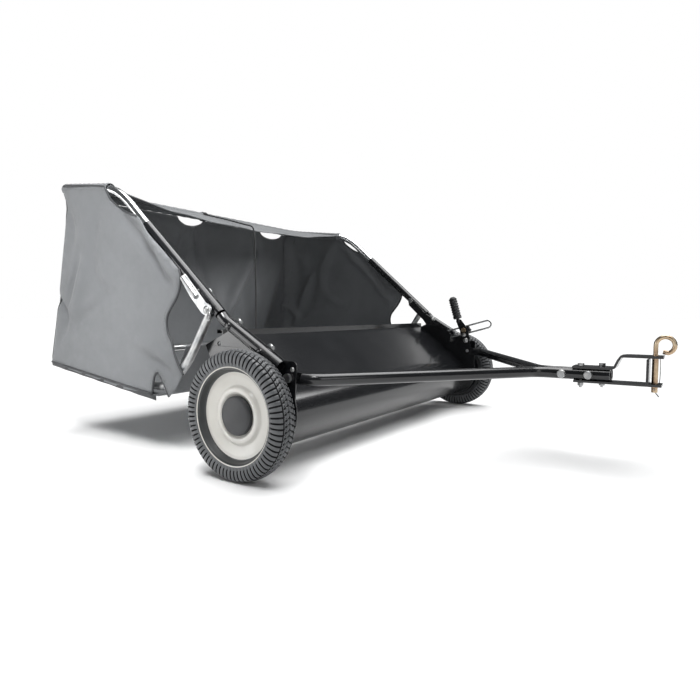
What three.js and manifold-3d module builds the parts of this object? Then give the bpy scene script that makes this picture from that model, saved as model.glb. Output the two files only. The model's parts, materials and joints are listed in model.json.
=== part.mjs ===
// Tow-behind lawn sweeper: a ground-driven rotary brush in a sheet-steel housing, two driving
// wheels, a V-shaped drawbar with a hitch clevis, and a fabric hopper that tips about two pins.
// Millimetres. +X points to the hitch, +Y to the machine's left, +Z up. Heights are above the floor.
// Outlines are drawn with the wheel axle at x = 0, and the whole group is centred at the end.
import * as THREE from "three";
import { mergeVertices } from "three/addons/utils/BufferGeometryUtils.js";
import Module from "manifold-3d";

const wasm = await Module();
wasm.setup();

// ---- driving dimensions ----
const GAP = 0.3;
const WHEEL_RADIUS = 127;
const TYRE_WIDTH = 50;
const WHEEL_Y = 541;
const PLATE_INNER = 474;
const PLATE_THICK = 3;
const PLATE_OUTER = PLATE_INNER + PLATE_THICK;
const TUBE_RADIUS = 12.5;
const TUBE_WALL = 1.6;
const TUBE_Y = PLATE_OUTER + TUBE_RADIUS + GAP;
const AXLE_RADIUS = 8;
const RUNNING_FIT = 0.3;

const GEAR_MODULE = 2.5;
const RING_TEETH = 60;
const PINION_TEETH = 14;
const RING_PITCH_RADIUS = GEAR_MODULE * RING_TEETH / 2;
const PINION_PITCH_RADIUS = GEAR_MODULE * PINION_TEETH / 2;
const CENTRE_DISTANCE = RING_PITCH_RADIUS - PINION_PITCH_RADIUS;
const PINION_ANGLE = THREE.MathUtils.degToRad(200.1);
const GEAR_IN = 518;
const GEAR_OUT = 532;

const AXLE = [0, WHEEL_RADIUS];
const BRUSH = [
  AXLE[0] + CENTRE_DISTANCE * Math.cos(PINION_ANGLE),
  AXLE[1] + CENTRE_DISTANCE * Math.sin(PINION_ANGLE),
];
const BRUSH_RADIUS = 86;
const BRUSH_HALF_LENGTH = 462;
const SHAFT_RADIUS = 9;
const HUB_RADIUS = 30;

const LIP = [-112, 287.5];
const NOSE_RADIUS = 74;
const NOSE = [-19, 112];
const SHEET = 2;
const COVER_HALF_WIDTH = PLATE_INNER - GAP;

const DRAWBAR_PIVOT = [70, 197];
const HITCH_MERGE_X = 423;
const HITCH_Z = 189;
const PIN_X = 654;
const LEVER_Y = 453.5;
const GRIP_RADIUS = 13.5;
const CLAMP = [57, 266];

const HOPPER_PIVOT = [-155, 368];
const TUBE_JOINT = [-98, 319];
const SLEEVE_END = [-334, 523];
const BOW_BEND = [-440, 618];
const BOW_REAR = [-703, 650];
const BOW_RADIUS = 10.6;
const LOWER_BOW_RADIUS = 9.5;
const STRUT_Y = 509;
const STRUT_BOLT = [-122, 329];
const FABRIC = 2.4;
const SIDE_Y = 505.5;
const BOLT_RADIUS = 4;
const PIVOT_BOLT_RADIUS = 5;

// ---- finishes ----
function finish(color, roughness, metalness) {
  return () => new THREE.MeshStandardMaterial({ color, roughness, metalness });
}
const blackPaint = finish(0x15171a, 0.25, 0.3);
const zinc = finish(0xc9ccd0, 0.3, 0.9);
const chrome = finish(0xdfe2e5, 0.12, 1);
const yellowZinc = finish(0x9a7a5c, 0.35, 0.8);
const rubber = finish(0x24262a, 0.85, 0);
const cream = finish(0xe4e0d4, 0.4, 0.1);
const blackPlastic = finish(0x1b1d20, 0.5, 0);
const nylon = finish(0xd8d4c8, 0.6, 0);
const bristle = finish(0x2a2b2d, 0.9, 0);
const fabric = finish(0x4c4f52, 0.9, 0);
const cord = finish(0x101214, 0.9, 0);

// ---- geometry helpers ----
// Turns the triangles round if the surface encloses a negative volume.
function facingOut(bare) {
  const position = bare.attributes.position;
  const index = bare.index.array;
  const a = new THREE.Vector3();
  const b = new THREE.Vector3();
  const c = new THREE.Vector3();
  let volume = 0;
  for (let i = 0; i < index.length; i += 3) {
    a.fromBufferAttribute(position, index[i]);
    b.fromBufferAttribute(position, index[i + 1]);
    c.fromBufferAttribute(position, index[i + 2]);
    volume += a.dot(b.cross(c));
  }
  if (volume < 0) {
    for (let i = 0; i < index.length; i += 3) {
      [index[i], index[i + 1]] = [index[i + 1], index[i]];
    }
  }
  return bare;
}

// The points and triangles alone, with points that touch made one.
function plain(geometry) {
  const bare = geometry.clone();
  bare.deleteAttribute("normal");
  bare.deleteAttribute("uv");
  return mergeVertices(bare, 1e-4);
}

function cleaned(geometry) {
  return facingOut(plain(geometry));
}

function toSolid(geometry) {
  const bare = cleaned(geometry);
  return new wasm.Manifold(new wasm.Mesh({
    numProp: 3,
    vertProperties: new Float32Array(bare.attributes.position.array),
    triVerts: new Uint32Array(bare.index.array),
  }));
}

function toGeometry(solid) {
  const data = solid.getMesh();
  const geometry = new THREE.BufferGeometry();
  geometry.setAttribute("position", new THREE.BufferAttribute(new Float32Array(data.vertProperties), 3));
  geometry.setIndex(new THREE.BufferAttribute(new Uint32Array(data.triVerts), 1));
  geometry.computeVertexNormals();
  return geometry;
}

function join(first, ...others) {
  return toGeometry(others.reduce((sum, item) => sum.add(toSolid(item)), toSolid(first)));
}

function cut(first, ...others) {
  return toGeometry(others.reduce((rest, item) => rest.subtract(toSolid(item)), toSolid(first)));
}

function shapeOf(points, holes = []) {
  const shape = new THREE.Shape(points.map(([x, z]) => new THREE.Vector2(x, z)));
  for (const [x, z, radius, sides = 16] of holes) {
    shape.holes.push(new THREE.Path(ring(x, z, radius, sides).map(([u, v]) => new THREE.Vector2(u, v))));
  }
  return shape;
}

function ring(x, z, radius, sides, start = 0) {
  const points = [];
  for (let i = 0; i < sides; i += 1) {
    const angle = start + 2 * Math.PI * i / sides;
    points.push([x + radius * Math.cos(angle), z + radius * Math.sin(angle)]);
  }
  return points;
}

function arc(x, z, radius, fromDeg, toDeg, steps) {
  const points = [];
  for (let i = 0; i <= steps; i += 1) {
    const angle = THREE.MathUtils.degToRad(fromDeg + (toDeg - fromDeg) * i / steps);
    points.push([x + radius * Math.cos(angle), z + radius * Math.sin(angle)]);
  }
  return points;
}

// A prism of an x-z outline between two y values on one side of the machine.
function prism(points, side, near, far, holes = []) {
  const depth = far - near;
  const geometry = new THREE.ExtrudeGeometry(shapeOf(points, holes), { depth, bevelEnabled: false });
  geometry.rotateX(Math.PI / 2);
  geometry.translate(0, side > 0 ? far : -near, 0);
  return geometry;
}

// A body of revolution about a line parallel to Y. Profile points are [radius, outward distance].
function turned(profile, centre, side, y, segments = 48) {
  const points = profile.map(([radius, along]) => new THREE.Vector2(radius, side * along));
  const geometry = new THREE.LatheGeometry(points, segments);
  geometry.translate(centre[0], side * y, centre[1]);
  return geometry;
}

class Route extends THREE.Curve {
  constructor(points) {
    super();
    this.points = points;
  }

  getPoint(t, target = new THREE.Vector3()) {
    const place = THREE.MathUtils.clamp(t, 0, 1) * (this.points.length - 1);
    const i = Math.min(Math.floor(place), this.points.length - 2);
    return target.lerpVectors(this.points[i], this.points[i + 1], place - i);
  }

  getUtoTmapping(u) {
    return u;
  }
}

// Straight runs between corners, each inner corner rounded over the given length.
function bends(corners, rounding, steps = 5) {
  const points = corners.map((corner) => new THREE.Vector3(...corner));
  const route = [points[0]];
  for (let i = 1; i < points.length - 1; i += 1) {
    const here = points[i];
    const shorter = Math.min(here.distanceTo(points[i - 1]), here.distanceTo(points[i + 1]));
    const reach = Math.min(rounding, shorter / 2.1);
    const enter = here.clone().add(points[i - 1].clone().sub(here).setLength(reach));
    const leave = here.clone().add(points[i + 1].clone().sub(here).setLength(reach));
    route.push(...new THREE.QuadraticBezierCurve3(enter, here, leave).getPoints(steps));
  }
  route.push(points.at(-1));
  return route;
}

function bar(points, radius, sides = 12, wall = 0) {
  const holes = wall ? [[0, 0, radius - wall, sides]] : [];
  const section = shapeOf(ring(0, 0, radius, sides), holes);
  const steps = points.length - 1;
  return new THREE.ExtrudeGeometry(section, { steps, extrudePath: new Route(points), bevelEnabled: false });
}

function straight(from, to, radius, sides = 16, wall = 0) {
  return bar([new THREE.Vector3(...from), new THREE.Vector3(...to)], radius, sides, wall);
}

function block(size, centre) {
  return new THREE.BoxGeometry(...size).translate(...centre);
}

// ---- assembly ----
const sweeper = new THREE.Group();

function add(name, geometry, material) {
  const shell = cleaned(geometry);
  shell.computeVertexNormals();
  const mesh = new THREE.Mesh(shell, material());
  mesh.name = name;
  sweeper.add(mesh);
}

function bothSides(make) {
  make("right", -1);
  make("left", 1);
}

// ---- housing ----
function coverOutline() {
  const tangent = 56;
  const steps = 24;
  const outer = [
    [LIP[0] - 17, LIP[1] - 8],
    [LIP[0] - 17, LIP[1]],
    LIP,
    [LIP[0], LIP[1] - 13],
    ...arc(...NOSE, NOSE_RADIUS, tangent, -64, steps),
  ];
  const inner = [
    ...arc(...NOSE, NOSE_RADIUS - SHEET, -64, tangent, steps),
    [LIP[0] - SHEET, LIP[1] - 14],
    [LIP[0] - SHEET, LIP[1] - SHEET],
    [LIP[0] - 15, LIP[1] - SHEET],
    [LIP[0] - 15, LIP[1] - 8],
  ];
  return [...outer, ...inner];
}

function sidePlateOutline() {
  const [px, pz] = HOPPER_PIVOT;
  return [
    [-162, 254], [-94, 284], [-105, 299], [-163, 352],
    ...arc(px, pz - 3, 10, 215, 50, 6),
    [-96, 322], [-60, 302], [62, 231],
    ...arc(79, 220, 11, 60, 0, 4),
    ...arc(...AXLE, 90, 18, -96, 11),
    [-70, 62], [-118, 84], [-140, 150], [-147, 226],
  ];
}

const TUBE_BOLTS = [[-68, 296], [18, 246]];
const ARM_HOLE = [-120, 258, 5, 12];
const SHIELD_RADIUS = 88;
const SHIELD_NEAR = 510;
const SHIELD_FAR = 512;

function housing() {
  const cover = coverOutline();
  add("housing_cover", prism(cover, 1, -COVER_HALF_WIDTH, COVER_HALF_WIDTH), blackPaint);
  bothSides((label, side) => {
    const holes = [
      [...AXLE, AXLE_RADIUS + GAP],
      [...BRUSH, SHAFT_RADIUS + 4 + GAP],
      [...HOPPER_PIVOT, PIVOT_BOLT_RADIUS + GAP],
      [...DRAWBAR_PIVOT, PIVOT_BOLT_RADIUS + GAP],
      ...TUBE_BOLTS.map(([x, z]) => [x, z, BOLT_RADIUS + GAP, 12]),
      ARM_HOLE,
    ];
    add(`side_plate_${label}`, prism(sidePlateOutline(), side, PLATE_INNER, PLATE_OUTER, holes), blackPaint);
    const along = bends([
      [TUBE_JOINT[0] + 2, side * TUBE_Y, TUBE_JOINT[1] - 1.5],
      [-86, side * TUBE_Y, 306],
      [62, side * TUBE_Y, 220],
    ], 14, 3);
    const bores = TUBE_BOLTS.map(([x, z]) => straight(
      [x, side * (TUBE_Y - 20), z], [x, side * (TUBE_Y + 20), z], BOLT_RADIUS + GAP, 10));
    add(`side_tube_${label}`, cut(bar(along, TUBE_RADIUS, 16, TUBE_WALL), ...bores), blackPaint);
    const axle = [[0, 0], [13, 0], [13, 8], [AXLE_RADIUS, 8], [AXLE_RADIUS, 83], [0, 83]];
    add(`stub_axle_${label}`, turned(axle, AXLE, side, PLATE_INNER - 8 - GAP, 16), zinc);
    const bearing = [
      [SHAFT_RADIUS + RUNNING_FIT, 0], [18, 0], [18, 4], [SHAFT_RADIUS + 4, 4],
      [SHAFT_RADIUS + 4, 12], [SHAFT_RADIUS + RUNNING_FIT, 12], [SHAFT_RADIUS + RUNNING_FIT, 0],
    ];
    add(`brush_bearing_${label}`, turned(bearing, BRUSH, side, PLATE_INNER - 4 - GAP, 16), nylon);
    const shieldHoles = [[...AXLE, 17], [...BRUSH, 14]];
    const shield = prism(ring(...AXLE, SHIELD_RADIUS, 32), side, SHIELD_NEAR, SHIELD_FAR, shieldHoles);
    const stand = [];
    for (const angle of [60, 150, 300]) {
      const [[x, z]] = arc(...AXLE, 70, angle, angle, 1);
      stand.push(straight([x, side * (PLATE_OUTER + GAP), z], [x, side * (SHIELD_FAR - 1), z], 5, 6));
    }
    add(`gear_shield_${label}`, join(shield, ...stand), blackPaint);
  });
}

// ---- wheels ----
function gearOutline(teeth, innerRadius, outerRadius, toothHalf, gapHalf, start) {
  const points = [];
  const pitch = 2 * Math.PI / teeth;
  for (let i = 0; i < teeth; i += 1) {
    const middle = start + i * pitch;
    for (const [share, radius] of [
      [-gapHalf, innerRadius], [-toothHalf, outerRadius], [toothHalf, outerRadius], [gapHalf, innerRadius],
    ]) {
      const angle = middle + share * pitch;
      points.push([radius * Math.cos(angle), radius * Math.sin(angle)]);
    }
  }
  return points;
}

function wheel(label, side) {
  const half = TYRE_WIDTH / 2;
  const tyre = [
    [94, half - 5], [108, half], [120, half - 2], [125.5, half - 8], [WHEEL_RADIUS, 0],
    [125.5, 8 - half], [120, 2 - half], [108, -half], [94, 5 - half], [94, half - 5],
  ];
  add(`tyre_${label}`, turned(tyre, AXLE, side, WHEEL_Y, 40), rubber);
  const bore = AXLE_RADIUS + RUNNING_FIT;
  const rim = [
    [bore, -27], [15, -27], [15, -4], [40, -2], [52, 0], [58, -4], [80, 2], [83, -20], [93.6, -20],
    [93.6, 19], [90.5, 19], [83, 6], [80, 6], [70, 2.5], [58, 0], [54, 4.5], [50, 6], [45, 6], [40.5, 3],
    [39, 1], [bore, 1], [bore, -27],
  ];
  add(`rim_${label}`, turned(rim, AXLE, side, WHEEL_Y, 28), cream);
  const start = PINION_ANGLE;
  const space = gearOutline(RING_TEETH, 72.6, 78.2, 0.19, 0.36, start);
  const gear = shapeOf(ring(0, 0, 80.4, 40));
  gear.holes.push(new THREE.Path(space.map(([u, v]) => new THREE.Vector2(u, v))));
  const geometry = new THREE.ExtrudeGeometry(gear, { depth: GEAR_OUT - GEAR_IN, bevelEnabled: false });
  geometry.rotateX(Math.PI / 2);
  geometry.translate(AXLE[0], side > 0 ? GEAR_OUT : -GEAR_IN, AXLE[1]);
  add(`ring_gear_${label}`, geometry, blackPlastic);
  const cap = [[0, 1.3], [38, 1.3], [38, 8], [36, 10.5], [28, 12], [15, 13], [0, 13.4]];
  const hollow = [[0, 0], [11, 0], [11, 10], [0, 10]];
  const shell = cut(turned(cap, AXLE, side, WHEEL_Y, 24), turned(hollow, AXLE, side, WHEEL_Y, 16));
  add(`hub_cap_${label}`, shell, blackPlastic);
}

// ---- brush reel ----
function brushReel() {
  const [x, z] = BRUSH;
  const reach = GEAR_OUT + 2;
  const hubs = [-1, 1].map((side) => prism(ring(x, z, HUB_RADIUS, 20), side, 440, 446));
  const rod = straight([x, -reach, z], [x, reach, z], SHAFT_RADIUS, 16);
  add("brush_shaft", join(rod, ...hubs), zinc);
  bothSides((label, side) => {
    const bore = ring(x, z, SHAFT_RADIUS + GAP, 16);
    const teeth = gearOutline(PINION_TEETH, 14.6, 20, 0.12, 0.31, PINION_ANGLE);
    const pinion = shapeOf(teeth.map(([u, v]) => [x + u, z + v]));
    pinion.holes.push(new THREE.Path(bore.map(([u, v]) => new THREE.Vector2(u, v))));
    const body = new THREE.ExtrudeGeometry(pinion, { depth: GEAR_OUT - GEAR_IN, bevelEnabled: false });
    body.rotateX(Math.PI / 2);
    body.translate(0, side > 0 ? GEAR_OUT : -GEAR_IN, 0);
    add(`pinion_${label}`, body, zinc);
  });
  for (let i = 0; i < 4; i += 1) {
    const angle = i * Math.PI / 2 + Math.PI / 4;
    const width = 2 * BRUSH_HALF_LENGTH;
    const root = HUB_RADIUS + GAP;
    const bristles = block([BRUSH_RADIUS - 34, width, 14], [(BRUSH_RADIUS + 34) / 2, 0, 0]);
    const holder = block([8, width, 22], [root + 4, 0, 0]);
    const piece = join(bristles, holder);
    piece.rotateY(-angle);
    piece.translate(x, 0, z);
    add(`brush_strip_${i + 1}`, piece, bristle);
  }
}

// ---- drawbar, hitch and height lever ----
const PLATE_GAUGE = 5;
const PLATE_WIDTH = 44;
const PIN_RADIUS = 6;
const PIN_HOLE_RADIUS = 6.8;
const CROSS_BOLT_X = [475, 530];
const UPRIGHT_RADIUS = 3;
const UPRIGHT_BORE = 3.6;
const DRAWBAR_END_Y = 13.2;
const UPRIGHT_BOLTS = [[513, -DRAWBAR_END_Y], [552, DRAWBAR_END_Y]];
const UPPER_Z = HITCH_Z + TUBE_RADIUS + GAP + PLATE_GAUGE / 2;
const LOWER_Z = HITCH_Z - TUBE_RADIUS - GAP - PLATE_GAUGE / 2;
const CLEVIS_Z = 232;
const BORE_LOW = 120;
const BORE_HIGH = 290;

function drawbar() {
  const [px, pz] = DRAWBAR_PIVOT;
  const tubeY = PLATE_INNER - TUBE_RADIUS - 2;
  bothSides((label, side) => {
    const along = bends([
      [px + 22, side * tubeY, pz - 2],
      [px + 50, side * (tubeY - 6), pz - 3],
      [HITCH_MERGE_X, side * DRAWBAR_END_Y, HITCH_Z],
      [572, side * DRAWBAR_END_Y, HITCH_Z],
    ], 26, 3);
    const flat = prism([
      ...arc(px, pz, 12, 90, 270, 8), [px + 30, pz - 13], [px + 30, pz + 8],
    ], side, tubeY - 3, tubeY + 3, [[px, pz, PIVOT_BOLT_RADIUS + GAP]]);
    const tube = join(bar(along, TUBE_RADIUS, 16, TUBE_WALL), flat);
    const cross = CROSS_BOLT_X.map((x) => straight([x, -40, HITCH_Z], [x, 40, HITCH_Z], 4.4, 8));
    const upright = UPRIGHT_BOLTS.map(([x]) => straight(
      [x, side * DRAWBAR_END_Y, HITCH_Z - 20], [x, side * DRAWBAR_END_Y, HITCH_Z + 20], UPRIGHT_BORE, 6));
    add(`drawbar_tube_${label}`, cut(tube, ...cross, ...upright), blackPaint);
    const bolt = [[0, 0], [9, 0], [9, 6], [5, 6], [5, 34], [0, 34]];
    add(`drawbar_pivot_bolt_${label}`, turned(bolt.map(([r, d]) => [r, -d]), DRAWBAR_PIVOT, side,
      PLATE_OUTER + 6 + GAP, 16), zinc);
  });
  CROSS_BOLT_X.forEach((x, i) => {
    const bolt = [
      [0, -33], [8, -33], [9.5, -29], [9.5, -27.4], [4, -27.4], [4, 27.4], [7, 27.4], [7, 34], [0, 34],
    ];
    add(`hitch_cross_bolt_${i + 1}`, turned(bolt, [x, HITCH_Z], 1, 0, 12), zinc);
  });
}

function strip(points, thick, width, y = 0) {
  const upper = [];
  const lower = [];
  points.forEach(([x, z], i) => {
    const before = points[Math.max(i - 1, 0)];
    const after = points[Math.min(i + 1, points.length - 1)];
    const angle = Math.atan2(after[1] - before[1], after[0] - before[0]) + Math.PI / 2;
    upper.push([x + Math.cos(angle) * thick / 2, z + Math.sin(angle) * thick / 2]);
    lower.push([x - Math.cos(angle) * thick / 2, z - Math.sin(angle) * thick / 2]);
  });
  return prism([...lower, ...upper.reverse()], 1, y - width / 2, y + width / 2);
}

function hitch() {
  const hole = straight([PIN_X, 0, BORE_LOW], [PIN_X, 0, BORE_HIGH], PIN_HOLE_RADIUS, 16);
  const boltHoles = UPRIGHT_BOLTS.map(([x, y]) => straight(
    [x, y, BORE_LOW], [x, y, BORE_HIGH], UPRIGHT_BORE, 6));
  const upper = strip([
    [496, UPPER_Z], [574, UPPER_Z], [580, UPPER_Z + 3], [584, UPPER_Z + 12], [587, CLEVIS_Z - 9],
    [592, CLEVIS_Z - 1], [600, CLEVIS_Z], [670, CLEVIS_Z],
  ], PLATE_GAUGE, PLATE_WIDTH);
  const lower = strip([[499, LOWER_Z], [668, LOWER_Z]], PLATE_GAUGE, PLATE_WIDTH);
  add("hitch_plate_upper", cut(upper, hole, ...boltHoles), blackPaint);
  const strapHigh = CLEVIS_Z - PLATE_GAUGE / 2 - 2.3;
  const strap = block([5, PLATE_WIDTH, strapHigh - LOWER_Z], [PIN_X - 12, 0, (strapHigh + LOWER_Z) / 2]);
  add("hitch_plate_lower", cut(join(lower, strap), hole, ...boltHoles), blackPaint);
  UPRIGHT_BOLTS.forEach(([x, y], i) => {
    const top = UPPER_Z + PLATE_GAUGE / 2 + GAP;
    const bottom = LOWER_Z - PLATE_GAUGE / 2 - GAP;
    const shank = straight([x, y, bottom - 11], [x, y, top + 3], UPRIGHT_RADIUS, 6);
    const head = straight([x, y, top], [x, y, top + 6], 7, 12);
    const nut = straight([x, y, bottom - 7], [x, y, bottom], 6.5, 6);
    add(`hitch_bolt_${i + 1}`, join(shank, head, nut), zinc);
  });
}

function hitchPin() {
  const low = 158;
  const neck = CLEVIS_Z + PLATE_GAUGE / 2 + 1;
  const loopStart = CLEVIS_Z + PLATE_GAUGE / 2 + 6;
  const loop = 17;
  const cotterZ = 165;
  const route = [new THREE.Vector3(PIN_X, 0, neck - 20), new THREE.Vector3(PIN_X, 0, loopStart)];
  for (const [x, z] of arc(PIN_X + loop, loopStart + 16, loop, 180, -70, 14)) {
    route.push(new THREE.Vector3(x, 0, z));
  }
  route.push(new THREE.Vector3(PIN_X + loop - 4, 0, loopStart + 2));
  const cotterHole = straight([PIN_X, -10, cotterZ], [PIN_X, 10, cotterZ], 1.6, 8);
  const shank = straight([PIN_X, 0, low], [PIN_X, 0, neck], PIN_RADIUS, 16);
  add("hitch_pin", cut(join(shank, bar(route, 4.6, 12)), cotterHole), yellowZinc);
  const clip = bends([
    [PIN_X, -10, cotterZ], [PIN_X, 12, cotterZ], [PIN_X, 16, cotterZ - 9], [PIN_X + 8, 9, cotterZ - 16.5],
    [PIN_X + 8, -9, cotterZ - 14],
  ], 5, 3);
  add("hitch_pin_clip", bar(clip, 1.2, 8), zinc);
}

function heightLever() {
  const [px, pz] = DRAWBAR_PIVOT;
  const outline = [
    ...arc(px, pz, 13, 195, 375, 10),
    [CLAMP[0] + 14, CLAMP[1] + 3], [45, 302], [28, 297], [CLAMP[0] - 14, CLAMP[1] - 3],
  ];
  const bores = [[px, pz, PIVOT_BOLT_RADIUS + GAP], [...CLAMP, BOLT_RADIUS + GAP, 16]];
  const lever = prism(outline, 1, LEVER_Y - 2, LEVER_Y + 2, bores);
  const along = (distance) => [36 - 0.28 * distance, LEVER_Y, 297 + 0.96 * distance];
  add("height_lever", join(lever, straight(along(-6), along(60), 6, 12)), blackPaint);
  const bore = straight(along(-4), along(62), 7, 12);
  add("lever_grip", cut(straight(along(8), along(83), GRIP_RADIUS, 20), bore), rubber);
}

function depthGuide() {
  const wire = 3;
  const rear = [-14, 247];
  const front = [146, 290];
  const across = new THREE.Vector2(front[0] - rear[0], front[1] - rear[1]).normalize();
  const normal = new THREE.Vector2(-across.y, across.x);
  const half = 12;
  const y = LEVER_Y + 11;
  const at = (distance, offset) => [
    rear[0] + across.x * distance + normal.x * offset, y, rear[1] + across.y * distance + normal.y * offset,
  ];
  const length = Math.hypot(front[0] - rear[0], front[1] - rear[1]);
  const route = [new THREE.Vector3(...at(0, -half)), new THREE.Vector3(...at(length - half, -half))];
  for (let i = 1; i < 8; i += 1) {
    const angle = Math.PI * (i / 8 - 0.5);
    route.push(new THREE.Vector3(...at(length - half + half * Math.cos(angle), half * Math.sin(angle))));
  }
  route.push(new THREE.Vector3(...at(length - half, half)), new THREE.Vector3(...at(0, half)));
  const mount = prism([
    [-32, 276], [-38, 252], [-18, 228], [4, 226], [6, 250], [-8, 270],
  ], 1, y - 3, PLATE_INNER - GAP, []);
  add("depth_guide", join(bar(route, wire, 8), mount), zinc);
}

function clamp() {
  const shank = [[0, 0], [8, 0], [8, 5], [4, 5], [4, 41], [0, 41]];
  add("clamp_bolt", turned(shank, CLAMP, 1, LEVER_Y - 2 - 5 - GAP, 16), yellowZinc);
  const lobes = ring(0, 0, 1, 40).map(([u, v]) => {
    const radius = 13.5 + 1.8 * Math.cos(5 * Math.atan2(v, u));
    return [CLAMP[0] + radius * u, CLAMP[1] + radius * v];
  });
  add("clamp_knob", prism(lobes, 1, 469, 483, [[...CLAMP, BOLT_RADIUS + GAP, 16]]), blackPlastic);
}

// ---- hopper frame ----
function hopperFrame() {
  const run = [TUBE_JOINT[0] - SLEEVE_END[0], TUBE_JOINT[1] - SLEEVE_END[1]];
  const tubeDirection = new THREE.Vector2(...run).normalize();
  bothSides((label, side) => {
    const y = side * TUBE_Y;
    const bore = straight([HOPPER_PIVOT[0], side * 470, HOPPER_PIVOT[1]],
      [HOPPER_PIVOT[0], side * 510, HOPPER_PIVOT[1]], 5 + GAP, 16);
    const lowEnd = [TUBE_JOINT[0] - tubeDirection.x * 2, y, TUBE_JOINT[1] - tubeDirection.y * 2];
    const tube = straight([SLEEVE_END[0], y, SLEEVE_END[1]], lowEnd, TUBE_RADIUS, 16, TUBE_WALL);
    add(`hopper_tube_${label}`, cut(tube, bore), blackPaint);
    const pin = [[0, 0], [8, 0], [8, 4], [5, 4], [5, 33.1], [0, 33.1]];
    add(`hopper_pivot_pin_${label}`, turned(pin, HOPPER_PIVOT, side, PLATE_INNER - 4 - GAP, 16), zinc);
    const flat = prism([
      [-200, 394], [-188, 406], [-126, 344], ...arc(...STRUT_BOLT, 13, 45, -90, 8),
      [-136, 322], [-172, 358],
    ], side, STRUT_Y - 4, STRUT_Y, [[...STRUT_BOLT, 4.5, 12]]);
    const stub = straight([-192, side * (STRUT_Y + 0.5), 398], [-150, side * (STRUT_Y + 0.5), 356], 6.5, 10);
    add(`hopper_brace_${label}`, join(flat, stub), zinc);
  });
  const beyond = (side, distance) => new THREE.Vector3(
    SLEEVE_END[0] + tubeDirection.x * distance, side * TUBE_Y, SLEEVE_END[1] + tubeDirection.y * distance);
  const halfBow = (side) => [
    beyond(side, -8).toArray(),
    [BOW_BEND[0], side * TUBE_Y, BOW_BEND[1]],
    [BOW_REAR[0], side * TUBE_Y, BOW_REAR[1]],
  ];
  const bow = bends([...halfBow(-1), ...halfBow(1).reverse()], 60, 4);
  add("hopper_top_bow", bar([beyond(-1, 40), ...bow, beyond(1, 40)], BOW_RADIUS, 14, 1.2), chrome);
  const lower = (side) => [
    [-128, side * (STRUT_Y - 15), 320],
    [-200, side * 494, 212],
    [-284, side * 484, 150],
    [-756, side * 484, 209],
  ];
  const lowerBow = bends([...lower(-1), ...lower(1).reverse()], 40, 4);
  add("hopper_lower_bow", bar(lowerBow, LOWER_BOW_RADIUS, 12, 1.2), zinc);
}

// ---- hopper bag ----
function sidePanelOutline() {
  return [
    [-778, 196], [-716, 654], [-600, 642], [-474, 625], [-446, 583], [-404, 552], [-352, 541],
    [-212, 417], [-222, 396], [-244, 350], [-262, 318], [-268, 289], [-254, 252], [-226, 203],
    [-216, 190], [-290, 126], [-330, 130],
  ];
}

function bag() {
  bothSides((label, side) => {
    add(`bag_side_${label}`, prism(sidePanelOutline(), side, SIDE_Y - FABRIC, SIDE_Y), fabric);
  });
  const inside = SIDE_Y - FABRIC - GAP;
  const sheet = (from, to, thick, half) => strip([from, to], thick, 2 * half);
  add("bag_rear", sheet([-718, 640], [-776, 199], FABRIC, inside), fabric);
  const flap = sheet([-299, 132], [-236, 250], FABRIC, 468);
  add("bag_floor", join(sheet([-298, 133], [-773, 194], FABRIC, inside), flap), fabric);
  add("bag_roof", roofPanel(), fabric);
}

const ROOF_REAR = -686;
const ROOF_FRONT = -480;
const ROOF_HALF = 448;
const ROOF_REAR_HEIGHT = 654;
const ROOF_DROP = 36;
const ROOF_SAG_REAR = 8;
const ROOF_SAG_GAIN = 20;

function roofHeight(x, y) {
  const along = (x - ROOF_REAR) / (ROOF_FRONT - ROOF_REAR);
  const across = 1 - (y / TUBE_Y) ** 2;
  return ROOF_REAR_HEIGHT - ROOF_DROP * along - across * (ROOF_SAG_REAR + ROOF_SAG_GAIN * along);
}

// The roof is a sagging sheet: a grid of points on its two faces, closed round the edge.
function roofPanel() {
  const rows = 4;
  const columns = 10;
  const position = [];
  for (const lift of [0, FABRIC]) {
    for (let i = 0; i <= rows; i += 1) {
      for (let j = 0; j <= columns; j += 1) {
        const x = ROOF_REAR + (ROOF_FRONT - ROOF_REAR) * i / rows;
        const y = ROOF_HALF * (2 * j / columns - 1);
        position.push(x, y, roofHeight(x, y) + lift);
      }
    }
  }
  const index = [];
  const layer = (rows + 1) * (columns + 1);
  const at = (i, j, top) => top * layer + i * (columns + 1) + j;
  const quad = (a, b, c, d) => index.push(a, b, c, a, c, d);
  for (let i = 0; i < rows; i += 1) {
    for (let j = 0; j < columns; j += 1) {
      quad(at(i, j, 1), at(i + 1, j, 1), at(i + 1, j + 1, 1), at(i, j + 1, 1));
      quad(at(i, j, 0), at(i, j + 1, 0), at(i + 1, j + 1, 0), at(i + 1, j, 0));
    }
    quad(at(i, 0, 0), at(i + 1, 0, 0), at(i + 1, 0, 1), at(i, 0, 1));
    quad(at(i, columns, 0), at(i, columns, 1), at(i + 1, columns, 1), at(i + 1, columns, 0));
  }
  for (let j = 0; j < columns; j += 1) {
    quad(at(0, j, 0), at(0, j, 1), at(0, j + 1, 1), at(0, j + 1, 0));
    quad(at(rows, j, 0), at(rows, j + 1, 0), at(rows, j + 1, 1), at(rows, j, 1));
  }
  const roof = new THREE.BufferGeometry();
  roof.setAttribute("position", new THREE.Float32BufferAttribute(position, 3));
  roof.setIndex(index);
  return roof;
}

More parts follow.
